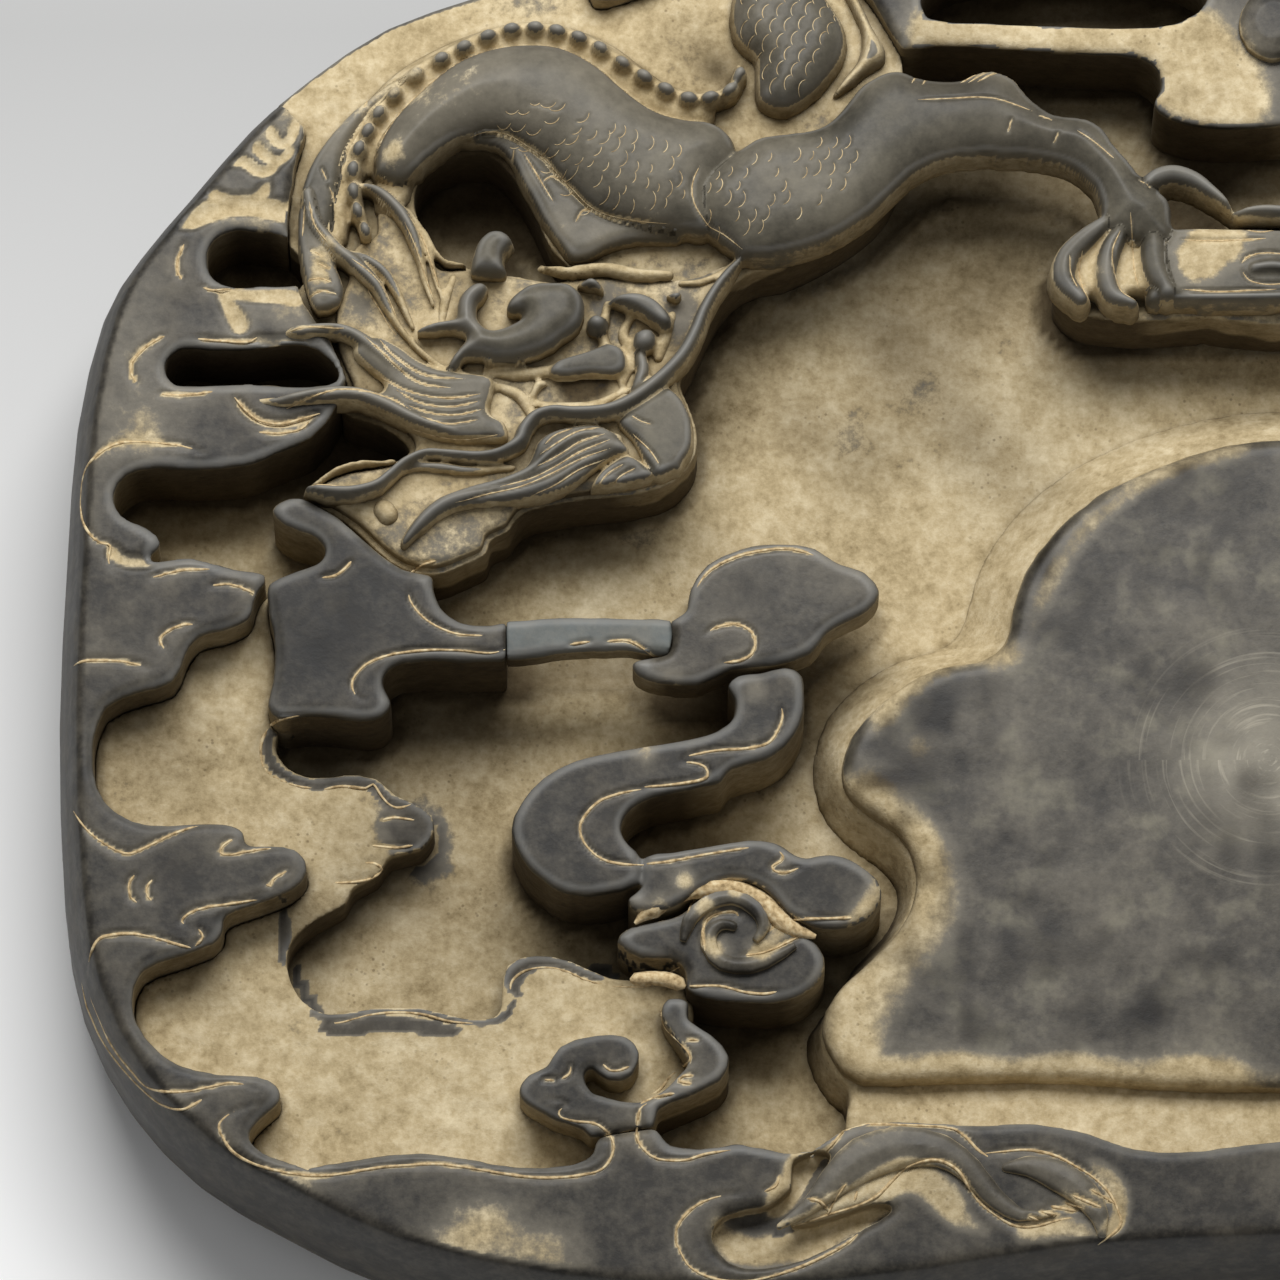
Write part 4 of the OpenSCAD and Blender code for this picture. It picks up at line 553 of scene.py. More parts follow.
def spread(grid, reach):
    """A grid softened over a reach in mm."""
    n = max(1, int(round(reach / CELL)))
    for _ in range(2):
        for axis in (0, 1):
            padded = np.pad(grid, [(n, n) if k == axis else (0, 0) for k in (0, 1)], mode="edge")
            total = np.insert(np.cumsum(padded, axis=axis), 0, 0, axis=axis)
            size = grid.shape[axis]
            high = np.take(total, np.arange(2 * n + 1, 2 * n + 1 + size), axis=axis)
            low = np.take(total, np.arange(size), axis=axis)
            grid = (high - low) / (2 * n + 1)
    return grid


def highest(grid, reach):
    """The highest value of a grid within a reach in mm."""
    n = max(1, int(round(reach / CELL)))
    for axis in (0, 1):
        best = grid.copy()
        for k in range(1, n + 1):
            best = np.maximum(best, np.roll(grid, k, axis))
            best = np.maximum(best, np.roll(grid, -k, axis))
        grid = best
    return grid


def unevenness(seed, size):
    """A soft random grid from -1 to 1 with bumps of a size in mm."""
    rng = np.random.default_rng(seed)
    step = size / CELL
    coarse = rng.uniform(-1, 1, (int(SHAPE[0] / step) + 3, int(SHAPE[1] / step) + 3))
    x = np.arange(SHAPE[0]) / step
    y = np.arange(SHAPE[1]) / step
    i, j = x.astype(int), y.astype(int)
    u = (x - i)[:, None]
    v = (y - j)[None, :]
    u, v = u * u * (3 - 2 * u), v * v * (3 - 2 * v)
    a, b = coarse[np.ix_(i, j)], coarse[np.ix_(i + 1, j)]
    c, d = coarse[np.ix_(i, j + 1)], coarse[np.ix_(i + 1, j + 1)]
    return (a * (1 - u) + b * u) * (1 - v) + (c * (1 - u) + d * u) * v


def window(low, high):
    """The part of a grid between two corners in mm, and the places of its cells."""
    a = np.clip(np.floor((low - LOW) / CELL).astype(int), 0, SHAPE)
    b = np.clip(np.ceil((high - LOW) / CELL).astype(int) + 1, 0, SHAPE)
    x = LOW[0] + CELL * np.arange(a[0], b[0])[:, None]
    y = LOW[1] + CELL * np.arange(a[1], b[1])[None, :]
    return (slice(a[0], b[0]), slice(a[1], b[1])), x, y


def beside(x, y, a, b):
    """How far along a straight stretch each place lies, from 0 to 1, and how far off it, in mm."""
    x, y, d = x - a[0], y - a[1], b - a
    t = np.clip((x * d[0] + y * d[1]) / max(d @ d, 1e-9), 0, 1)
    return t, np.hypot(x - t * d[0], y - t * d[1])


def stamp(grid, path, reach, height):
    """Lays a soft stroke with thinner ends along a path, where it's stronger than what is there."""
    count = len(path) - 1
    for k in range(count):
        a, b = path[k], path[k + 1]
        share = (k + 0.5) / count
        ends = min(1.0, 0.35 + 5 * share, 0.35 + 5 * (1 - share))
        part, x, y = window(np.minimum(a, b) - reach, np.maximum(a, b) + reach)
        far = beside(x, y, a, b)[1] / (reach * ends)
        grid[part] = np.maximum(grid[part], height * ends * np.clip(1 - far * far, 0, 1))


def spots_grid(text):
    """A grid of soft round spots, each written as x, y, reach in mm and amount."""
    grid = blank()
    for x, y, reach, amount in marks(text):
        place = seen((x, y))[0][:2]
        part, across, along = window(place - 2 * reach, place + 2 * reach)
        far = (across - place[0]) ** 2 + (along - place[1]) ** 2
        grid[part] += amount * np.exp(-far / (reach * reach))
    return grid


def strokes_grid(strokes, wider=1.3):
    """A grid of soft strokes, each given as marks, half width in mm and amount."""
    grid = blank()
    for text, half, amount in strokes:
        stamp(grid, seen(smooth_path(marks(text), 0.9))[:, :2], half * wider, amount)
    return grid


@cache
def stone_surface():
    """The solids outside the relief as one surface to look at and measure on, in mm."""
    points, faces = [], []
    for name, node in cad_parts.items():
        if name in RELIEF:
            continue
        base = len(points)
        points.extend(v.co / MM for v in node.data.vertices)
        faces.extend([base + i for i in p.vertices] for p in node.data.polygons)
    return BVHTree.FromPolygons(points, faces)


def seen(points):
    """Where marks of the sheet lie on the stone, looking at it as the drawing does, in mm."""
    surface = stone_surface()
    places = []
    for start in over_rim(points):
        hit = surface.ray_cast(Vector(start - LOOK_FROM * SIGHT), Vector(SIGHT))[0]
        places.append(tuple(hit) if hit else tuple(start))
    return np.array(places)


@cache
def cut_lines():
    """Every line carved in the solids: its path on the stone and its width, in mm."""
    made = []
    for group in (RIM_LINES, SHELF_LINES, CLOUD_LINES, WAVE_LINES):
        width = SHELF_LINE_WIDTH if group is SHELF_LINES else LINE_WIDTH
        made += [(seen(smooth_path(marks(text), 0.9)), width) for text in group]
    return made


def raise_outline(relief, owner, mine, text, low, top, edge):
    """Raises a rounded form inside a closed outline."""
    ring = marks(text)
    ring = smooth_path(np.vstack([ring, ring[:1]]), 1.2)
    ring = at_height(ring, 0.3 * low + 0.7 * top)[:, :2]
    part, x, y = window(ring.min(0) - 1, ring.max(0) + 1)
    inside = np.zeros((x.shape[0], y.shape[1]), bool)
    near = np.full(inside.shape, np.inf)
    for a, b in zip(ring, np.roll(ring, -1, 0)):
        if np.allclose(a, b, rtol=0, atol=1e-6):
            continue
        if a[1] != b[1]:
            crosses = (a[1] > y) != (b[1] > y)
            inside ^= crosses & (x < a[0] + (y - a[1]) * (b[0] - a[0]) / (b[1] - a[1]))
        near = np.minimum(near, beside(x, y, a, b)[1])
    t = np.clip(near / edge, 0, 1)
    form = np.where(inside, low + (top - low) * (1 - (1 - t) ** 2.3) ** 0.5, NOTHING)
    keep_higher(relief, owner, mine, part, form)


def raise_stroke(relief, owner, mine, line, low, top, flat=1.0):
    """Raises a rounded ridge along marks of x, y and half width; a thin one stays lower than its top."""
    path = smooth_path(line, 0.7)
    place = at_height(path[:, :2], 0.3 * low + 0.7 * top)[:, :2]
    width = path[:, 2]
    for k in range(len(place) - 1):
        a, b = place[k], place[k + 1]
        reach = max(width[k], width[k + 1]) + 0.2
        part, x, y = window(np.minimum(a, b) - reach, np.maximum(a, b) + reach)
        t, far = beside(x, y, a, b)
        half = width[k] + t * (width[k + 1] - width[k])
        far = far / half
        rise = (top - low) * np.clip(half / 1.6, 0.55, 1.0)
        form = np.where(far < 1, low + rise * (1 - np.clip(far, 0, 1) ** (2.2 * flat)) ** 0.55, NOTHING)
        keep_higher(relief, owner, mine, part, form)


def keep_higher(relief, owner, mine, part, form):
    """Gives a form the cells in which it stands higher than what is there."""
    keep = form > relief[part]
    relief[part][keep] = form[keep]
    owner[part][keep] = mine


def carve_relief():
    """The dragon as one relief of forms, and the piece that owns each cell."""
    relief = blank(NOTHING)
    owner = np.full(SHAPE, -1)
    names = list(RELIEF)
    for name, low, top, edge, text in OUTLINES:
        raise_outline(relief, owner, names.index(name), text, low, top, edge)
    for name, low, top, text in STROKES:
        raise_stroke(relief, owner, names.index(name), marks(text), low, top)
    plates = marks(PLATES)
    for k, plate in enumerate(plates):
        along = plates[min(k + 1, len(plates) - 1)] - plates[max(k - 1, 0)]
        along = along / np.linalg.norm(along)
        size = 1.04 if k > 17 else 1.0
        line = np.array([
            [*(plate - along * 0.8 * size), 1.35 * size],
            [*plate, 1.5 * size],
            [*(plate + along * 0.8 * size), 1.1 * size],
        ])
        raise_stroke(relief, owner, names.index("dragon_spine"), line, 45.6, 50.6, 1.6)
    return relief, owner


def body_scales(rng):
    """Places of the body's scales on the sheet, each with its turn, size and chance."""
    for row in range(9):
        for col in range(16):
            x = 101 + 2.7 * col + (row % 2) * 1.35 + rng.uniform(-0.5, 0.5)
            y = 18.6 + 2.7 * row + 0.34 * (x - 101) + rng.uniform(-0.4, 0.4)
            if x > 137.5 - 0.12 * row or y > 41 - 0.9 * max(0, 118 - x) or y < 17 + 0.3 * (x - 108):
                continue
            turn = math.radians(90 - 80 * min(1, max(0, (x - 108) / 20)))
            yield x, y, turn, rng.uniform(0.7, 1.1), rng.uniform(0, 1)


def haunch_scales(rng):
    """Places of the haunch's scales."""
    for row in range(8):
        for col in range(11):
            x = 142 + 3.0 * col + (row % 2) * 1.5 + rng.uniform(-0.5, 0.5)
            y = 25.5 + 2.9 * row + rng.uniform(-0.5, 0.5)
            if y < 34.5 - 0.33 * (x - 142) or y > 46.5 - 0.35 * max(0, x - 150) or x > 174 - 1.2 * abs(row - 2):
                continue
            yield x, y, math.radians(18), rng.uniform(0.75, 1.1), rng.uniform(0, 1)


def tail_scales(rng):
    """Places of the tail's scales."""
    for row in range(7):
        for col in range(8):
            x = 148.5 + 2.9 * col + (row % 2) * 1.4
            y = -3 + 3.0 * row + rng.uniform(-0.4, 0.4)
            if x < 168 - 0.35 * y and (y < 15 or x > 152) and -5 < y < 19:
                yield x, y, math.radians(200), 1.0, rng.uniform(0.3, 1)


def scale_arcs():
    """Short curved cuts of the scales, with a little of the hand's unevenness; one in five is worn away."""
    rng = np.random.default_rng(21)
    lines = []
    for scales in (body_scales, haunch_scales, tail_scales):
        for x, y, turn, size, keep in scales(rng):
            if keep < 0.2:
                continue
            angles = turn + np.linspace(-0.95 * size, 0.95 * size, 6)
            lines.append(np.stack([x + 1.9 * size * (np.cos(angles) - math.cos(turn)),
                                   y + 1.9 * size * (np.sin(angles) - math.sin(turn))], axis=1))
    return lines


@cache
def dragon_paths():
    """The lines on the dragon from above: path, width, depth and the radius of the dust in them, in mm."""
    hair = [at_height(smooth_path(marks(text), 0.8), HAIR_HEIGHT)[:, :2] for text in HAIR_LINES]
    scales = [at_height(smooth_path(line, 0.6), SCALE_HEIGHT)[:, :2] for line in scale_arcs()]
    return [(path, 1.1, 0.5, 0.2) for path in hair] + [(path, 0.9, 0.22, 0.12) for path in scales]


def dragon_lines():
    """The paths of the dragon's lines as they lie on the relief, each with the radius of its dust."""
    made = []
    for path, _, _, dust in dragon_paths():
        z = read(grids()["height"], path)
        held = z > LEAST_HEIGHT
        if held.sum() > 2:
            made.append((np.column_stack([path, z])[held], dust))
    return made


def looked_down():
    """Heights of the solids outside the relief, looked at from straight above in every other cell."""
    surface = stone_surface()
    height = blank(-1.0)
    for i in range(0, SHAPE[0], 2):
        for j in range(0, SHAPE[1], 2):
            start = Vector((LOW[0] + CELL * i, LOW[1] + CELL * j, 80))
            hit = surface.ray_cast(start, Vector((0, 0, -1)))[0]
            if hit:
                height[i, j] = hit.z
    height[1:-1:2, ::2] = 0.5 * (height[0:-2:2, ::2] + height[2::2, ::2])
    height[:, 1:-1:2] = 0.5 * (height[:, 0:-2:2] + height[:, 2::2])
    return height


@cache
def grids():
    """The grids that shape and colour every piece."""
    height = looked_down()
    groove = blank()
    for path, width in cut_lines():
        stamp(groove, path[:, :2], width / 2, LINE_DEPTH)
    fine = blank()
    for path, width, depth, _ in dragon_paths():
        stamp(fine, path, width / 2, depth)
    soft = unevenness(3, 16.0) * 0.6 + unevenness(4, 7.0) * 0.4
    relief, owner = carve_relief()
    has = relief > 0
    relief = np.where(has, relief + 0.14 * soft, relief)
    eased = spread(np.where(has, relief, height), 0.4)
    relief = np.where(has, 0.4 * relief + 0.6 * eased - fine, relief)
    height = np.maximum(height, np.where(has, relief, NOTHING))
    return {
        "height": height,
        "close": spread(height, 0.9),
        "near": spread(height, 1.6),
        "wide": spread(height, 8.0),
        "top": highest(height, 7.0),
        "inside": spread((height > 0).astype(float), 6.0),
        "relief": relief,
        "owner": owner,
        "fine": fine,
        "groove": groove,
        "haze": spread(groove, 1.6),
        "patches": spots_grid(DUST_PATCHES) + strokes_grid(DUST_BANDS),
        "shade": spots_grid(SHADE_PATCHES),
        "stain_and_shade": spots_grid(STAINS_AND_SHADE),
        "scoop": strokes_grid(SCOOPS),
        "bare": strokes_grid([(text, half, 1.0) for text, half in BARE_EDGES]),
        "soft": soft,
        "chisel": unevenness(5, 3.2),
        "mottle": unevenness(8, 11.0) * 0.8 + unevenness(9, 4.0) * 0.6,
    }


def loose_copy(names):
    """The named solids as one mesh of joined faces, in mm."""
    shape = bmesh.new()
    for name in names:
        shape.from_mesh(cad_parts[name].data)
    bmesh.ops.scale(shape, vec=(1000, 1000, 1000), verts=shape.verts)
    bmesh.ops.remove_doubles(shape, verts=shape.verts, dist=0.001)
    return shape


def draw_down(shape, bottom, by):
    """Lengthens a solid below its foot, so that its rounded edge lies inside what carries it."""
    for v in shape.verts:
        if v.co.z < bottom + 0.05:
            v.co.z -= by


def past_seam(shape, other, by):
    """Carries a length of the rim past its seam with the next length."""
    around = loose_copy([other])
    theirs = {tuple(round(c, 1) for c in v.co) for v in around.verts}
    around.free()
    shared = [v for v in shape.verts if tuple(round(c, 1) for c in v.co) in theirs]
    if len(shared) < 3:
        return
    place = np.array([v.co for v in shared])
    middle = place[:, :2].mean(0)
    across = np.linalg.svd(place[:, :2] - middle)[2][1]
    own = np.mean([v.co[:2] for v in shape.verts], axis=0)
    if across @ (middle - own) < 0:
        across = -across
    near = np.abs(place[:, :2] - middle).max() + 1
    for v in shape.verts:
        far = np.array(v.co[:2]) - middle
        if abs(far @ across) < 0.05 and np.linalg.norm(far) < near * 1.5:
            v.co.x += across[0] * by
            v.co.y += across[1] * by


def object_from(shape, name):
    """An object in the scene with the shape as its mesh."""
    mesh = bpy.data.meshes.new(name)
    shape.to_mesh(mesh)
    shape.free()
    piece = bpy.data.objects.new(name, mesh)
    bpy.context.scene.collection.objects.link(piece)
    return piece


def applied(piece):
    """The mesh of an object with its modifiers or its curve made real."""
    bpy.context.view_layer.update()
    return bpy.data.meshes.new_from_object(piece.evaluated_get(bpy.context.evaluated_depsgraph_get()))


def refine(piece, voxel, rounds):
    """Gives a piece an even skin and the soft edges of rubbed stone."""
    skin = piece.modifiers.new("Skin", "REMESH")
    skin.mode = "VOXEL"
    skin.voxel_size = voxel
    skin.use_smooth_shade = True
    rub = piece.modifiers.new("Rubbed edges", "SMOOTH")
    rub.factor = 0.5
    rub.iterations = rounds
    result = applied(piece)
    old = piece.data
    piece.modifiers.clear()
    piece.data = result
    result.name = piece.name
    bpy.data.meshes.remove(old)
    return piece


def corners_of(mesh):
    """The places and normals of a mesh's corners."""
    co = np.empty(len(mesh.vertices) * 3, np.float32)
    mesh.vertices.foreach_get("co", co)
    normal = np.empty(len(mesh.vertices) * 3, np.float32)
    mesh.vertex_normals.foreach_get("vector", normal)
    return co.reshape(-1, 3).astype(float), normal.reshape(-1, 3).astype(float)


def put(mesh, name, values):
    """Stores a value from 0 up at each corner, for the materials."""
    layer = mesh.attributes.new(name, "FLOAT", "POINT")
    layer.data.foreach_set("value", values.astype(np.float32))


def worn_away(inner, z):
    """How far the stone's outer edge has been rounded off, in mm."""
    return np.clip((0.94 - inner) / 0.44, 0, 1) ** 2 * EDGE_ROUNDING * step_between(32, 44, z)


def shape_surface(co, normal, ground):
    """Cuts the lines and hollows in, wears the outer edge and leaves the hand's unevenness."""
    names = ("height", "groove", "near", "top", "soft", "chisel", "inside", "scoop", "bare")
    here = SimpleNamespace(**{name: read(grids()[name], co[:, :2]) for name in names})
    here.up = step_between(0.15, 0.6, normal[:, 2])
    here.shown = step_between(3.0, 1.2, np.abs(here.height - co[:, 2]))
    here.wall_near = np.clip(here.near - co[:, 2], 0, 12)
    outward = (normal[:, :2] * co[:, :2]).sum(1) / np.maximum(np.linalg.norm(co[:, :2], axis=1), 1)
    here.outside = step_between(0.97, 0.8, here.inside) * step_between(0.05, 0.35, outward)
    here.scoop *= here.shown
    here.bare *= here.shown
    co[:, 2] -= (here.groove * here.shown + here.scoop) * here.up
    co[:, 2] -= worn_away(here.inside, co[:, 2])
    if ground:
        rough = 0.14 * here.wall_near + 0.4 * here.soft + 0.22 * here.chisel
        co[:, 2] += here.up * here.shown * rough
    else:
        co[:, 2] += here.up * here.shown * (0.1 * here.soft)
        push = (1 - here.up) * (1 - here.outside) * 0.18 * here.chisel
        co[:, :2] += normal[:, :2] * push[:, None]
    return here


def work_surface(piece, dusty, ground, mottled):
    """Shapes a piece whose mesh is in mm and marks its dust, its painted shade and the painted sheen of its raised
    edges, which are marked worn.
    """
    g = grids()
    mesh = piece.data
    co, normal = corners_of(mesh)
    here = shape_surface(co, normal, ground)
    xy, z = co[:, :2], co[:, 2]
    wall = step_between(0.6, 3.4, here.top - z) * (1 - here.up) * (1 - here.outside)
    dust = dusty + 0.85 * wall + 0.55 * step_between(0.2, 0.5, here.groove) * here.shown
    dust += (0.7 if ground else 1.5) * read(g["haze"], xy) * here.shown
    dust += 0.05 * np.clip(here.wall_near, 0, 6) * (1 - here.outside)
    dust += read(g["patches"], xy) * here.shown + 0.16 * here.soft
    dust -= (0.7 if dusty < 0.5 else 1.15) * here.outside
    dust += 0.66 * step_between(0.1, 1.0, here.scoop) - 0.95 * step_between(0.15, 0.5, here.bare)
    # Painted shade: the listed shade patches, which spare the tops of the dark pieces, and a painted shadow on the
    # walls below a piece's top
    shade = read(g["shade"], xy) * (1 - 0.999 * (dusty < 0.3) * here.up) + 0.55 * wall
    # Painted shade on dusty pieces: darker deep down in narrow hollows and at the feet of walls
    if dusty > 0.3:
        shade += 0.3 * step_between(3, 13, read(g["wide"], xy) - z)
        shade += 0.4 * step_between(0.3, 3.0, here.near - z)
    # On the tops of dark pieces the shade mark also carries the stone's own mottling and the darker patches, which
    # are partly painted shade
    if dusty < 0.5:
        mottle = mottled * np.clip(read(g["mottle"], xy), -0.3, 1)
        shade += (read(g["stain_and_shade"], xy) + mottle) * here.up * here.shown
    mesh.vertices.foreach_set("co", co.astype(np.float32).ravel())
    put(mesh, "dust", np.clip(dust, 0, 1.3))
    put(mesh, "shade", np.clip(shade * (1 - here.outside), 0, 0.97))
    # Painted sheen: upward faces that stand above their surroundings are marked worn and grow paler in the material
    put(mesh, "worn", np.clip(step_between(1.2, 6.0, z - here.near) * here.up, 0, 1))


def finish_piece(piece, look, slot, nodes):
    """Brings a piece to metres, gives it its material and puts it in the frame."""
    piece.data.transform(Matrix.Scale(MM, 4))
    piece.data.materials.clear()
    piece.data.materials.append(look)
    if nodes:
        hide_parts(*nodes)
    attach(piece, "root")
    return piece


def carve(name, nodes, voxel, rounds, dusty, slot, foot=None, seams=(), lower=0.0, ground=False, mottled=0.15):
    """Makes a piece from a copy of its solids: foot is its height and how far to lengthen it below that."""
    shape = loose_copy(nodes)
    for other, by in seams:
        past_seam(shape, other, by)
    if foot:
        draw_down(shape, *foot)
    if lower:
        bmesh.ops.translate(shape, vec=(0, 0, -lower), verts=shape.verts)
    piece = refine(object_from(shape, name), voxel, rounds)
    work_surface(piece, dusty, ground, mottled)
    return finish_piece(piece, material(slot), slot, nodes)


def grown_cells(name):
    """The cells of the relief that a piece owns, and two more all round that lie on the relief."""
    g = grids()
    cells = g["owner"] == list(RELIEF).index(name)
    for _ in range(2):
        wide = cells.copy()
        for axis in (0, 1):
            wide |= np.roll(cells, 1, axis) | np.roll(cells, -1, axis)
        cells = wide & (g["relief"] > 0)
    return cells


def relief_top(name):
    """The top of a piece of the relief, without corners that only touch at a point."""
    relief = grids()["relief"]
    cells = grown_cells(name)
    rows = np.where(cells.any(1))[0]
    cols = np.where(cells.any(0))[0]
    low = np.array([rows[0], cols[0]])
    size = np.array([rows[-1], cols[-1]]) - low
    shape = bmesh.new()
    bmesh.ops.create_grid(shape, x_segments=int(size[0]), y_segments=int(size[1]), size=0.5)
    drop = []
    for v in shape.verts:
        i = int(round((v.co.x + 0.5) * size[0])) + low[0]
        j = int(round((v.co.y + 0.5) * size[1])) + low[1]
        if not cells[i, j]:
            drop.append(v)
            continue
        v.co = (LOW[0] + CELL * i, LOW[1] + CELL * j, max(relief[i, j], RELIEF[name] + 0.3))
    while drop:
        bmesh.ops.delete(shape, geom=drop, context="VERTS")
        drop = [v for v in shape.verts if not v.link_faces or sum(e.is_boundary for e in v.link_edges) > 2]
    return shape


def relief_piece(name):
    """Cuts one owner's part of the relief free and gives it smooth sides and an underside."""
    shape = relief_top(name)
    rim = [e for e in shape.edges if e.is_boundary]
    next_to = {}
    for e in rim:
        a, b = e.verts
        next_to.setdefault(a, []).append(b)
        next_to.setdefault(b, []).append(a)
    for _ in range(4):
        moved = {v: v.co * 0.5 + sum((o.co for o in others), Vector()) * (0.5 / len(others))
                 for v, others in next_to.items()}
        for v, co in moved.items():
            v.co = co
    made = bmesh.ops.extrude_edge_only(shape, edges=rim)["geom"]
    for v in made:
        if isinstance(v, bmesh.types.BMVert):
            v.co.z = RELIEF[name]
    rim = [e for e in made if isinstance(e, bmesh.types.BMEdge) and e.is_boundary]
    bmesh.ops.holes_fill(shape, edges=rim, sides=0)
    bmesh.ops.recalc_face_normals(shape, faces=shape.faces)
    for f in shape.faces:
        f.smooth = True
    piece = object_from(shape, name + "_carved")
    mark_relief(piece.data, name)
    return finish_piece(piece, material("dragon_stone"), "carved_stone", [name])


def mark_relief(mesh, name):
    """Marks the dust, the painted shade and the painted sheen of the crests, which are marked worn, of a piece of the
    relief.
    """
    g = grids()
    co, normal = corners_of(mesh)
    xy, z = co[:, :2], co[:, 2]
    crease = read(g["close"], xy) - z
    up = step_between(0.15, 0.6, normal[:, 2])
    dust = 0.06 + FILMED.get(name, 0.0) + 0.6 * step_between(0.3, 0.55, read(g["fine"], xy))
    dust += 0.85 * step_between(0.3, 1.0, crease) + 0.5 * step_between(0.34, 0.12, normal[:, 2])
    dust += read(g["patches"], xy) + 0.16 * read(g["soft"], xy)
    if name in BURIED:
        dust += 0.8 * step_between(0.5, -0.5, z - BURIED[name])
    # Painted shade on the relief's sides that lie well below the tops near them
    shade = 0.6 * step_between(2.5, 9.0, read(g["top"], xy) - z) * (1 - up)
    put(mesh, "dust", np.clip(dust, 0, 1.3))
    put(mesh, "shade", np.clip(shade + read(g["stain_and_shade"], xy), 0, 0.97))
    # Painted sheen: the relief's crests are marked worn and grow paler in the material
    put(mesh, "worn", np.clip(step_between(0.15, 0.7, -crease) * up, 0, 1))


def dust_tubes():
    """Thin uneven tubes of dust along every carved line, and thicker ones in the narrow gaps, in mm."""
    rng = np.random.default_rng(11)
    curve = bpy.data.curves.new("dust_lines", "CURVE")
    curve.dimensions = "3D"
    curve.bevel_depth = 1.0
    curve.bevel_resolution = 1
    curve.use_fill_caps = True
    lines = [(path, LINE_DUST) for path, _ in cut_lines()] + dragon_lines()
    lines += [(at_height(smooth_path(marks(text), 1.2), z), radius) for text, z, radius in PACKED]
    for path, thick in lines:
        inner = read(grids()["inside"], path[:, :2])
        path = path - worn_away(inner, path[:, 2])[:, None] * (0, 0, 1)
        path = path[(inner > 0.52) & (path[:, 2] > np.median(path[:, 2]) - 4.5)]
        count = len(path)
        if count < 3:
            continue
        spline = curve.splines.new("POLY")
        spline.points.add(count - 1)
        knots = np.arange(0, count + 8, 4)
        wave = np.interp(np.arange(count), knots, rng.uniform(0.55, 1.0, len(knots)))
        share = np.arange(count) / (count - 1)
        taper = np.clip(np.minimum(share, 1 - share) * 8 + 0.25, 0, 1)
        sunk = LINE_DUST_SUNK if thick >= LINE_DUST else FINE_DUST_SUNK
        for k, point in enumerate(spline.points):
            point.co = (*path[k][:2], path[k][2] - sunk, 1)
            point.radius = thick * wave[k] * taper[k]
    return curve


def add_node(tree, kind, settings=None, inputs=None, stops=()):
    """Adds a node with its settings. Each input takes a value or the output that feeds it, and the stops of a
    colour ramp are each a value and its colour."""
    node = tree.nodes.new(kind)
    for key, value in (settings or {}).items():
        setattr(node, key, value)
    for key, value in (inputs or {}).items():
        if isinstance(value, bpy.types.NodeSocket):
            tree.links.new(value, node.inputs[key])
        else:
            node.inputs[key].default_value = value
    for k, (value, colour) in enumerate(stops):
        if k >= len(node.color_ramp.elements):
            node.color_ramp.elements.new(1.0)
        node.color_ramp.elements[k].position = value
        node.color_ramp.elements[k].color = (*colour, 1.0)
    return node


def empty_material(name):
    """A material without a shader, its tree, and the places on the piece."""
    mat = bpy.data.materials.new(name)
    mat.use_nodes = True
    mat.node_tree.nodes.clear()
    return mat, mat.node_tree, add_node(mat.node_tree, "ShaderNodeTexCoord").outputs["Object"]


def ground_rings(tree, place, stone):
    """Ring scratches 0.9 mm apart, left by grinding round one spot, and the pale film that has dried there."""
    spot = tuple(at_height(RING_MARK, FIELD_TOP)[0] * MM)
    off = add_node(tree, "ShaderNodeVectorMath", {"operation": "SUBTRACT"}, {0: place, 1: spot})
    flat = add_node(tree, "ShaderNodeVectorMath", {"operation": "MULTIPLY"}, {0: off.outputs[0], 1: (1, 1, 0)})
    far = add_node(tree, "ShaderNodeVectorMath", {"operation": "LENGTH"}, {0: flat.outputs[0]}).outputs["Value"]
    parts = add_node(tree, "ShaderNodeSeparateXYZ", None, {0: flat.outputs[0]})
    turn = add_node(tree, "ShaderNodeMath", {"operation": "ARCTAN2"},
                    {0: parts.outputs["Y"], 1: parts.outputs["X"]})
    slow = add_node(tree, "ShaderNodeMath", {"operation": "MULTIPLY"}, {0: turn.outputs[0], 1: 0.0007})
    ring = add_node(tree, "ShaderNodeCombineXYZ", None, {"X": far, "Y": slow.outputs[0]})
    lines = add_node(tree, "ShaderNodeTexNoise", None,
                     {"Vector": ring.outputs[0], "Scale": 1 / (0.9 * MM), "Detail": 3.0})
    scratches = add_node(tree, "ShaderNodeMapRange", None,
                         {"Value": lines.outputs["Fac"], "From Min": 0.56, "From Max": 0.7})
    film = add_node(tree, "ShaderNodeTexNoise", None,
                    {"Vector": place, "Scale": 1 / (14 * MM), "Detail": 6.0, "Roughness": 0.7})
    fading = []
    for pattern, last, full in ((scratches.outputs["Result"], 34, 20), (film.outputs["Fac"], 30, 2)):
        near = add_node(tree, "ShaderNodeMapRange", {"interpolation_type": "SMOOTHSTEP"},
                        {"Value": far, "From Min": last * MM, "From Max": full * MM})
        fading.append(add_node(tree, "ShaderNodeMath", {"operation": "MULTIPLY"},
                               {0: pattern, 1: near.outputs["Result"]}).outputs[0])
    both = add_node(tree, "ShaderNodeMath", {"operation": "MULTIPLY_ADD"}, {0: fading[0], 1: 0.42, 2: fading[1]})
    share = add_node(tree, "ShaderNodeClamp", None, {"Value": both.outputs[0]})
    pale = add_node(tree, "ShaderNodeMix", {"data_type": "RGBA"},
                    {0: share.outputs[0], 6: stone, 7: (*linear("#a39c8b"), 1)})
    return pale.outputs[2]


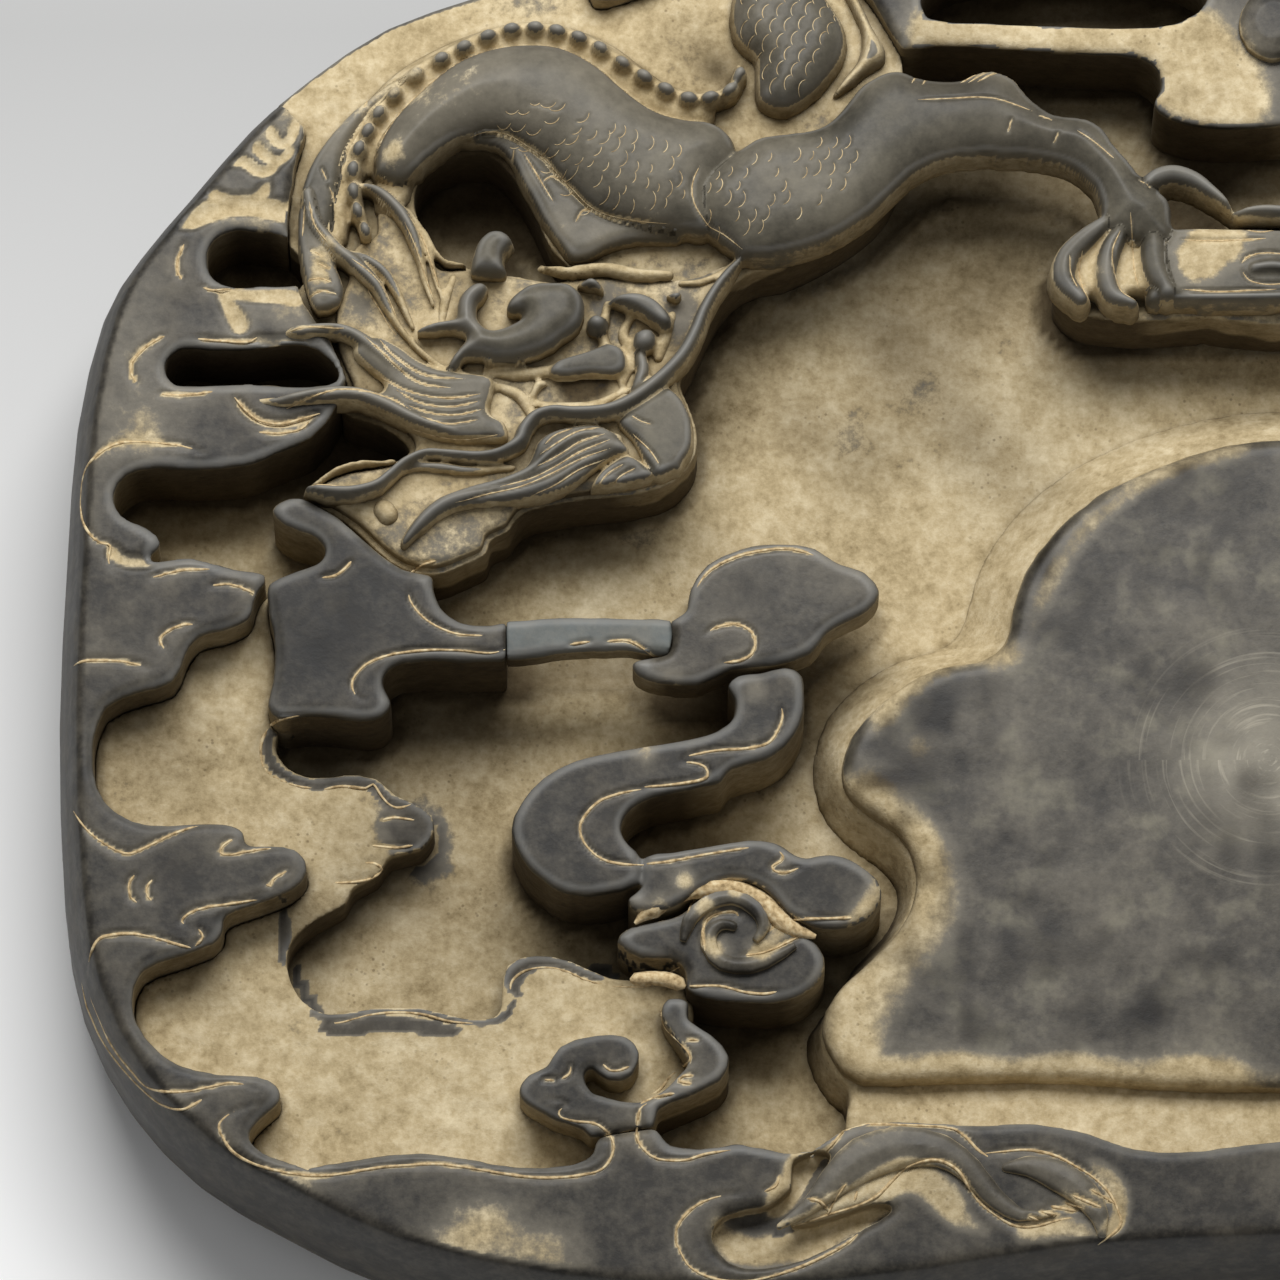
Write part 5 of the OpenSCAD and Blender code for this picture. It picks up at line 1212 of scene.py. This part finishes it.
def dry_earth(tree, place, cloud, grain, drift, broad):
    """The dust's colour: lighter and deeper by place, with patches of dark crumbs 1.5 mm apart."""
    look = bpy.context.scene.ink_stone
    tone = 0.1
    for pattern, weight in ((drift, 0.35), (grain, 0.25), (broad, 0.22)):
        tone = add_node(tree, "ShaderNodeMath", {"operation": "MULTIPLY_ADD"},
                        {0: pattern, 1: weight, 2: tone}).outputs[0]
    earth = add_node(tree, "ShaderNodeValToRGB", None, {"Fac": tone},
                     [(0.38, look.dust_deep), (0.5, look.dust_mid), (0.64, look.dust_light)])
    crumbs = add_node(tree, "ShaderNodeTexVoronoi", None, {"Vector": place, "Scale": 1 / (1.5 * MM)})
    crumb = add_node(tree, "ShaderNodeMapRange", None,
                     {"Value": crumbs.outputs["Distance"], "From Min": 0.26, "From Max": 0.14, "To Max": 0.5})
    patch = add_node(tree, "ShaderNodeMapRange", None, {"Value": cloud, "From Min": 0.5, "From Max": 0.66})
    share = add_node(tree, "ShaderNodeMath", {"operation": "MULTIPLY"},
                     {0: crumb.outputs["Result"], 1: patch.outputs["Result"]})
    earthy = add_node(tree, "ShaderNodeMix", {"data_type": "RGBA"},
                      {0: share.outputs[0], 6: earth.outputs["Color"], 7: (*linear("#5d4d33"), 1)})
    return earthy.outputs[2]


def dusty_slate(name, dark, mid, light, rough, cut=(0.42, 0.62), rings=False):
    """Slate mottled over 12 mm with a 1.6 mm grain, lightened by a painted sheen where a piece is marked worn, under
    dust in drifts of 4.5 mm where it's marked dusty, and darkened by painted shade where it's marked shady. Cut is
    how much dust a place needs before the first and the last of its stone is covered."""
    mat, tree, place = empty_material(name)
    cloud, grain, drift, broad = (
        add_node(tree, "ShaderNodeTexNoise", None,
                 {"Vector": place, "Scale": 1 / (size * MM), "Detail": detail, "Roughness": ragged}).outputs["Fac"]
        for size, detail, ragged in ((12, 6.0, 0.62), (1.6, 4.0, 0.7), (4.5, 5.0, 0.65), (30, 3.0, 0.5))
    )
    dusty, worn, shady = (
        add_node(tree, "ShaderNodeAttribute", {"attribute_name": mark}).outputs["Fac"]
        for mark in ("dust", "worn", "shade")
    )
    stone = add_node(tree, "ShaderNodeValToRGB", None, {"Fac": cloud},
                     [(0.3, linear(dark)), (0.52, linear(mid)), (0.72, linear(light))]).outputs["Color"]
    if rings:
        stone = ground_rings(tree, place, stone)
    # Painted sheen: where a piece is marked worn the stone grows paler towards a light grey
    rub = add_node(tree, "ShaderNodeMath", {"operation": "MULTIPLY"}, {0: worn, 1: 0.55})
    rubbed = add_node(tree, "ShaderNodeMix", {"data_type": "RGBA"},
                      {0: rub.outputs[0], 6: stone, 7: (*linear("#8b8a86"), 1)})
    dust = -0.42
    for pattern, weight in ((drift, 0.5), (grain, 0.34), (dusty, 1.0)):
        dust = add_node(tree, "ShaderNodeMath", {"operation": "MULTIPLY_ADD"},
                        {0: pattern, 1: weight, 2: dust}).outputs[0]
    cover = add_node(tree, "ShaderNodeMapRange", {"interpolation_type": "SMOOTHSTEP"},
                     {"Value": dust, "From Min": cut[0], "From Max": cut[1]}).outputs["Result"]
    film = add_node(tree, "ShaderNodeMapRange", None,
                    {"Value": dust, "From Min": -0.05, "From Max": 0.45, "To Max": 0.5})
    filmed = add_node(tree, "ShaderNodeMix", {"data_type": "RGBA"},
                      {0: film.outputs["Result"], 6: rubbed.outputs[2], 7: (*linear("#928a79"), 1)})
    covered = add_node(tree, "ShaderNodeMix", {"data_type": "RGBA"},
                       {0: cover, 6: filmed.outputs[2], 7: dry_earth(tree, place, cloud, grain, drift, broad)})
    # Painted shade: the colour is multiplied down towards a dark brown grey where a piece is marked shade
    shaded = add_node(tree, "ShaderNodeMix", {"data_type": "RGBA"},
                      {0: shady, 6: (1, 1, 1, 1), 7: (*linear("#595248"), 1)})
    colour = add_node(tree, "ShaderNodeMix", {"data_type": "RGBA", "blend_type": "MULTIPLY"},
                      {0: 1.0, 6: covered.outputs[2], 7: shaded.outputs[2]})
    stone_rough = add_node(tree, "ShaderNodeMapRange", None,
                           {"Value": cloud, "To Min": rough - 0.1, "To Max": rough + 0.16})
    rough_here = add_node(tree, "ShaderNodeMix", None, {0: cover, 2: stone_rough.outputs["Result"], 3: 0.95})
    grit = add_node(tree, "ShaderNodeMath", {"operation": "MULTIPLY_ADD"}, {0: grain, 1: 0.6, 2: drift})
    gritty = add_node(tree, "ShaderNodeMapRange", None, {"Value": cover, "To Min": 0.12, "To Max": 0.55})
    bump = add_node(tree, "ShaderNodeBump", None,
                    {"Distance": 0.5 * MM, "Height": grit.outputs[0], "Strength": gritty.outputs["Result"]})
    shader = add_node(tree, "ShaderNodeBsdfPrincipled", None,
                      {"Base Color": colour.outputs[2], "Roughness": rough_here.outputs[0],
                       "Specular IOR Level": 0.28, "Normal": bump.outputs["Normal"]})
    add_node(tree, "ShaderNodeOutputMaterial", None, {"Surface": shader.outputs["BSDF"]})
    return mat


def packed_dust():
    """Pale dry dust packed in the carved lines: matt, and crumbly at 1.2 mm."""
    mat, tree, place = empty_material("Packed dust in carved lines")
    crumbs = add_node(tree, "ShaderNodeTexNoise", None,
                      {"Vector": place, "Scale": 1 / (1.2 * MM), "Detail": 4.0}).outputs["Fac"]
    earth = add_node(tree, "ShaderNodeValToRGB", None, {"Fac": crumbs},
                     [(0.32, linear("#8d7753")), (0.5, linear("#c3aa7f")), (0.68, linear("#dccaa2"))])
    bump = add_node(tree, "ShaderNodeBump", None, {"Distance": 0.2 * MM, "Strength": 0.5, "Height": crumbs})
    shader = add_node(tree, "ShaderNodeBsdfPrincipled", None,
                      {"Base Color": earth.outputs["Color"], "Roughness": 0.95, "Normal": bump.outputs["Normal"]})
    add_node(tree, "ShaderNodeOutputMaterial", None, {"Surface": shader.outputs["BSDF"]})
    return mat


@cache
def material(slot):
    """The stone of a slot, made once."""
    return {
        # Near black brown with a dull sheen from hands, and dust that lies thin at its edges
        "carved_stone": lambda: dusty_slate(
            "Slate, carved and rubbed", "#1f1d19", "#2d2a25", "#423d34", 0.47, (0.36, 0.7)),
        # Greyer and drier, as saw and coarse grit left the sides
        "side_stone": lambda: dusty_slate("Slate, ground sides", "#2f2c27", "#433f37", "#5a554a", 0.55),
        # Rough pool stone that only shows where the dust is thin
        "dusty_stone": lambda: dusty_slate("Slate under dry dust", "#35312a", "#48433a", "#5f594d", 0.6),
        # The smoothest stone, with ring scratches and a dry film round the spot where ink is ground
        "field_stone": lambda: dusty_slate(
            "Slate, ground smooth for ink", "#27241f", "#45413a", "#757060", 0.42, (0.3, 0.78), True),
        # Warm grey, paler than the carved stone: partly the fine dust that settles on the dragon's scales, partly
        # painted sheen of the lamp above the far side, where the dragon lies
        "dragon_stone": lambda: dusty_slate("Slate, filmed with fine dust and painted sheen", "#3a372f", "#4b473d", "#625d50", 0.5),
        # Cool grey, which sets the mended arm off from the brown stone round it
        "arm_stone": lambda: dusty_slate("Slate, bluish mended arm", "#464948", "#575b59", "#6b706e", 0.5),
        # Darker and a little glossier, as if handled most
        "dark_stone": lambda: dusty_slate("Slate, darker cloud head", "#221f1a", "#322e27", "#48433a", 0.42),
    }[slot]()


def lay_floor(look):
    """A matt pale floor with painted shade that makes it a little darker behind the stone."""
    shape = bmesh.new()
    bmesh.ops.create_grid(shape, x_segments=1, y_segments=1, size=FLOOR_HALF)
    floor = object_from(shape, "floor")
    mat, tree, place = empty_material("Matt pale floor")
    parts = add_node(tree, "ShaderNodeSeparateXYZ", None, {0: place})
    near = add_node(tree, "ShaderNodeMapRange", None,
                    {"Value": parts.outputs["Y"], "From Min": FLOOR_FADE[0], "From Max": FLOOR_FADE[1]})
    tone = add_node(tree, "ShaderNodeMix", {"data_type": "RGBA"},
                    {0: near.outputs["Result"], 6: (*look.floor_far, 1), 7: (*look.floor, 1)})
    shader = add_node(tree, "ShaderNodeBsdfPrincipled", None, {"Base Color": tone.outputs[2], "Roughness": 0.9})
    add_node(tree, "ShaderNodeOutputMaterial", None, {"Surface": shader.outputs["BSDF"]})
    floor.data.materials.append(mat)


def hang_lamp(context, power):
    """One soft lamp above the far side, turned to the stone."""
    lamp = bpy.data.lights.new("soft_lamp", "AREA")
    lamp.shape = "RECTANGLE"
    lamp.size, lamp.size_y = LAMP_SIZE
    lamp.energy = power
    holder = bpy.data.objects.new("soft_lamp", lamp)
    context.scene.collection.objects.link(holder)
    holder.location = LAMP_PLACE
    holder.rotation_euler = (-LAMP_PLACE).to_track_quat("-Z", "Y").to_euler()


def light_sky(context, strength):
    """Even light from all sides."""
    world = context.scene.world or bpy.data.worlds.new("World")
    context.scene.world = world
    world.use_nodes = True
    back = world.node_tree.nodes["Background"]
    back.inputs["Color"].default_value = (*linear("#f4f5f7"), 1)
    back.inputs["Strength"].default_value = strength


def set_camera(context):
    """The view of the photograph: 15 degrees from straight above, on the left two thirds of the stone."""
    camera = bpy.data.cameras.new("camera")
    camera.sensor_width = FILM_WIDTH
    camera.lens = FILM_WIDTH * EYE_DISTANCE / SEEN_WIDTH
    camera.clip_end = 20
    eye = bpy.data.objects.new("camera", camera)
    context.scene.collection.objects.link(eye)
    eye.location = Vector(over_rim(AIM)[0]) * MM - Vector(SIGHT) * EYE_DISTANCE
    eye.rotation_euler = Vector(SIGHT).to_track_quat("-Z", "Y").to_euler()
    context.scene.camera = eye
    context.scene.view_settings.view_transform = "Standard"


class InkStoneSettings(bpy.types.PropertyGroup):
    """Values that a user may change"""

    dust_light: FloatVectorProperty(
        name="Light dust", description="Dust where it is thick and dry",
        subtype="COLOR", default=linear("#dccdab"))
    dust_mid: FloatVectorProperty(
        name="Dust", description="Dust over most of the pools",
        subtype="COLOR", default=linear("#b9a782"))
    dust_deep: FloatVectorProperty(
        name="Deep dust", description="Thin dust that lets the stone show",
        subtype="COLOR", default=linear("#8b7956"))
    rim_grain: FloatProperty(
        name="Rim grid", description="Size of the rim's mesh faces, in millimetres",
        default=0.7, min=0.4, max=3.0)
    floor: FloatVectorProperty(
        name="Floor", description="Colour of the pale floor",
        subtype="COLOR", default=linear("#fefefd"))
    # Painted shade: the far floor's colour darkens the floor behind the stone
    floor_far: FloatVectorProperty(
        name="Far floor", description="Colour of the floor behind the stone",
        subtype="COLOR", default=linear("#b4b4b3"))
    lamp: FloatProperty(
        name="Lamp", description="Power of the soft lamp",
        unit="POWER", default=13.0, min=0.0, max=500.0)
    sky: FloatProperty(
        name="Sky", description="Strength of the even light from all sides",
        default=0.28, min=0.0, max=2.0)


class INKSTONE_OT_rims(bpy.types.Operator):
    """Make the base and the four lengths of the rim"""

    bl_idname = "inkstone.rims"
    bl_label = "Base and Rims"

    def execute(self, context):
        grain = context.scene.ink_stone.rim_grain
        carve("base_slab", ["base_slab"], 1.6, 6, 0.8, "side_stone", ground=True)
        sides, ends = ("rim_south", "rim_north"), ("rim_west", "rim_east")
        for name, neighbours, lower, voxel in (
            ("rim_west", sides, 0.0, grain),
            ("rim_south", ends, 0.05, grain),
            ("rim_east", sides, 0.0, 1.1),
            ("rim_north", ends, 0.05, grain),
        ):
            carve(name + "_carved", [name], voxel, 4, 0.0, "carved_stone", foot=(POOL_FLOOR, 3.0),
                  seams=[(other, 1.5) for other in neighbours], lower=lower)
        return {"FINISHED"}


class INKSTONE_OT_pools(bpy.types.Operator):
    """Make the shelf, the pool's bank, the grinding field and the dragon's ground"""

    bl_idname = "inkstone.pools"
    bl_label = "Pools and Field"

    def execute(self, context):
        for name, node, voxel, dusty, ground in (
            ("shelf", "cloud_terrace", 0.8, 0.72, True),
            ("bank", "pool_bank", 1.3, 0.85, True),
            ("dragon_rock", "dragon_ground", 0.7, 0.6, True),
            ("claw_rest", "claw_rock", 0.8, 0.6, False),
        ):
            carve(name, [node], voxel, 4, dusty, "dusty_stone", foot=(POOL_FLOOR, 1.5), ground=ground)
        carve("field", ["grinding_field"], 0.9, 3, 0.05, "field_stone", foot=(BANK_TOP, 1.5), mottled=0.75)
        return {"FINISHED"}


class INKSTONE_OT_clouds(bpy.types.Operator):
    """Make the clouds, the waves and the mended arm"""

    bl_idname = "inkstone.clouds"
    bl_label = "Clouds and Waves"

    def execute(self, context):
        for name, nodes, voxel, rounds, dusty, slot, foot, seams in (
            ("cloud_west_carved", ["cloud_west"], 0.6, 4, -0.1, "carved_stone", (POOL_FLOOR, 1.5), ()),
            ("cloud_scroll_carved", ["cloud_scroll", "cloud_lobe"], 0.6, 4, -0.1, "carved_stone",
             (POOL_FLOOR, 1.5), ()),
            ("cloud_swirl_carved", ["cloud_swirl"], 0.6, 4, -0.1, "carved_stone", (POOL_FLOOR, 1.5), ()),
            ("cloud_curls_carved", ["cloud_curls"], 0.4, 3, 0.02, "carved_stone", (CURL_FOOT, 0.8), ()),
            ("cloud_ruyi_carved", ["cloud_ruyi"], 0.55, 4, -0.06, "carved_stone", (TERRACE_TOP, 1.5),
             [("rim_south", 1.5)]),
            ("cloud_knob_carved", ["cloud_knob"], 0.5, 4, 0.02, "carved_stone", (RIM_TOP, 1.0), ()),
            ("waves", ["wave_wings"], 0.55, 4, 0.2, "carved_stone", (RIM_TOP, 1.0), ()),
            ("mended_arm", ["cloud_arm"], 0.45, 3, 0.0, "arm_stone", None, ()),
            ("cloud_head_carved", ["cloud_head"], 0.55, 4, 0.0, "dark_stone", (POOL_FLOOR, 1.5), ()),
        ):
            carve(name, nodes, voxel, rounds, dusty, slot, foot, seams)
        return {"FINISHED"}


class INKSTONE_OT_dragon(bpy.types.Operator):
    """Make the dragon's body, legs, head, mane and beard"""

    bl_idname = "inkstone.dragon"
    bl_label = "Dragon"

    def execute(self, context):
        carve("head_mass", ["head_bed"], 0.6, 4, 0.55, "dusty_stone", foot=(GROUND_TOP, 1.0), ground=True)
        for name in RELIEF:
            relief_piece(name)
        return {"FINISHED"}


class INKSTONE_OT_dust_lines(bpy.types.Operator):
    """Pack dust into the carved lines"""

    bl_idname = "inkstone.dust_lines"
    bl_label = "Dust Lines"

    def execute(self, context):
        lines = bpy.data.objects.new("dust_lines", dust_tubes())
        context.scene.collection.objects.link(lines)
        mesh = applied(lines)
        bpy.data.objects.remove(lines)
        piece = bpy.data.objects.new("dust_lines", mesh)
        context.scene.collection.objects.link(piece)
        for p in mesh.polygons:
            p.use_smooth = True
        finish_piece(piece, packed_dust(), "dusty_stone", ())
        return {"FINISHED"}


class INKSTONE_OT_stage(bpy.types.Operator):
    """Set the floor, the light and the camera"""

    bl_idname = "inkstone.stage"
    bl_label = "Stage"

    def execute(self, context):
        look = context.scene.ink_stone
        lay_floor(look)
        hang_lamp(context, look.lamp)
        light_sky(context, look.sky)
        set_camera(context)
        return {"FINISHED"}


class INKSTONE_PT_panel(bpy.types.Panel):
    """The ink stone's pieces and values"""

    bl_label = "Ink Stone"
    bl_idname = "INKSTONE_PT_panel"
    bl_space_type = "VIEW_3D"
    bl_region_type = "UI"
    bl_category = "Ink Stone"

    def draw(self, context):
        look = context.scene.ink_stone
        for name in InkStoneSettings.__annotations__:
            self.layout.prop(look, name)
        for step in STEPS:
            self.layout.operator(step.bl_idname)


STEPS = (INKSTONE_OT_rims, INKSTONE_OT_pools, INKSTONE_OT_clouds, INKSTONE_OT_dragon, INKSTONE_OT_dust_lines,
         INKSTONE_OT_stage)
CLASSES = (InkStoneSettings, *STEPS, INKSTONE_PT_panel)


def register():
    for cls in CLASSES:
        bpy.utils.register_class(cls)
    bpy.types.Scene.ink_stone = PointerProperty(type=InkStoneSettings)


def unregister():
    del bpy.types.Scene.ink_stone
    for cls in reversed(CLASSES):
        bpy.utils.unregister_class(cls)


def main():
    register()
    bpy.ops.inkstone.rims()
    bpy.ops.inkstone.pools()
    bpy.ops.inkstone.clouds()
    bpy.ops.inkstone.dragon()
    bpy.ops.inkstone.dust_lines()
    bpy.ops.inkstone.stage()


if __name__ == "__main__":
    main()
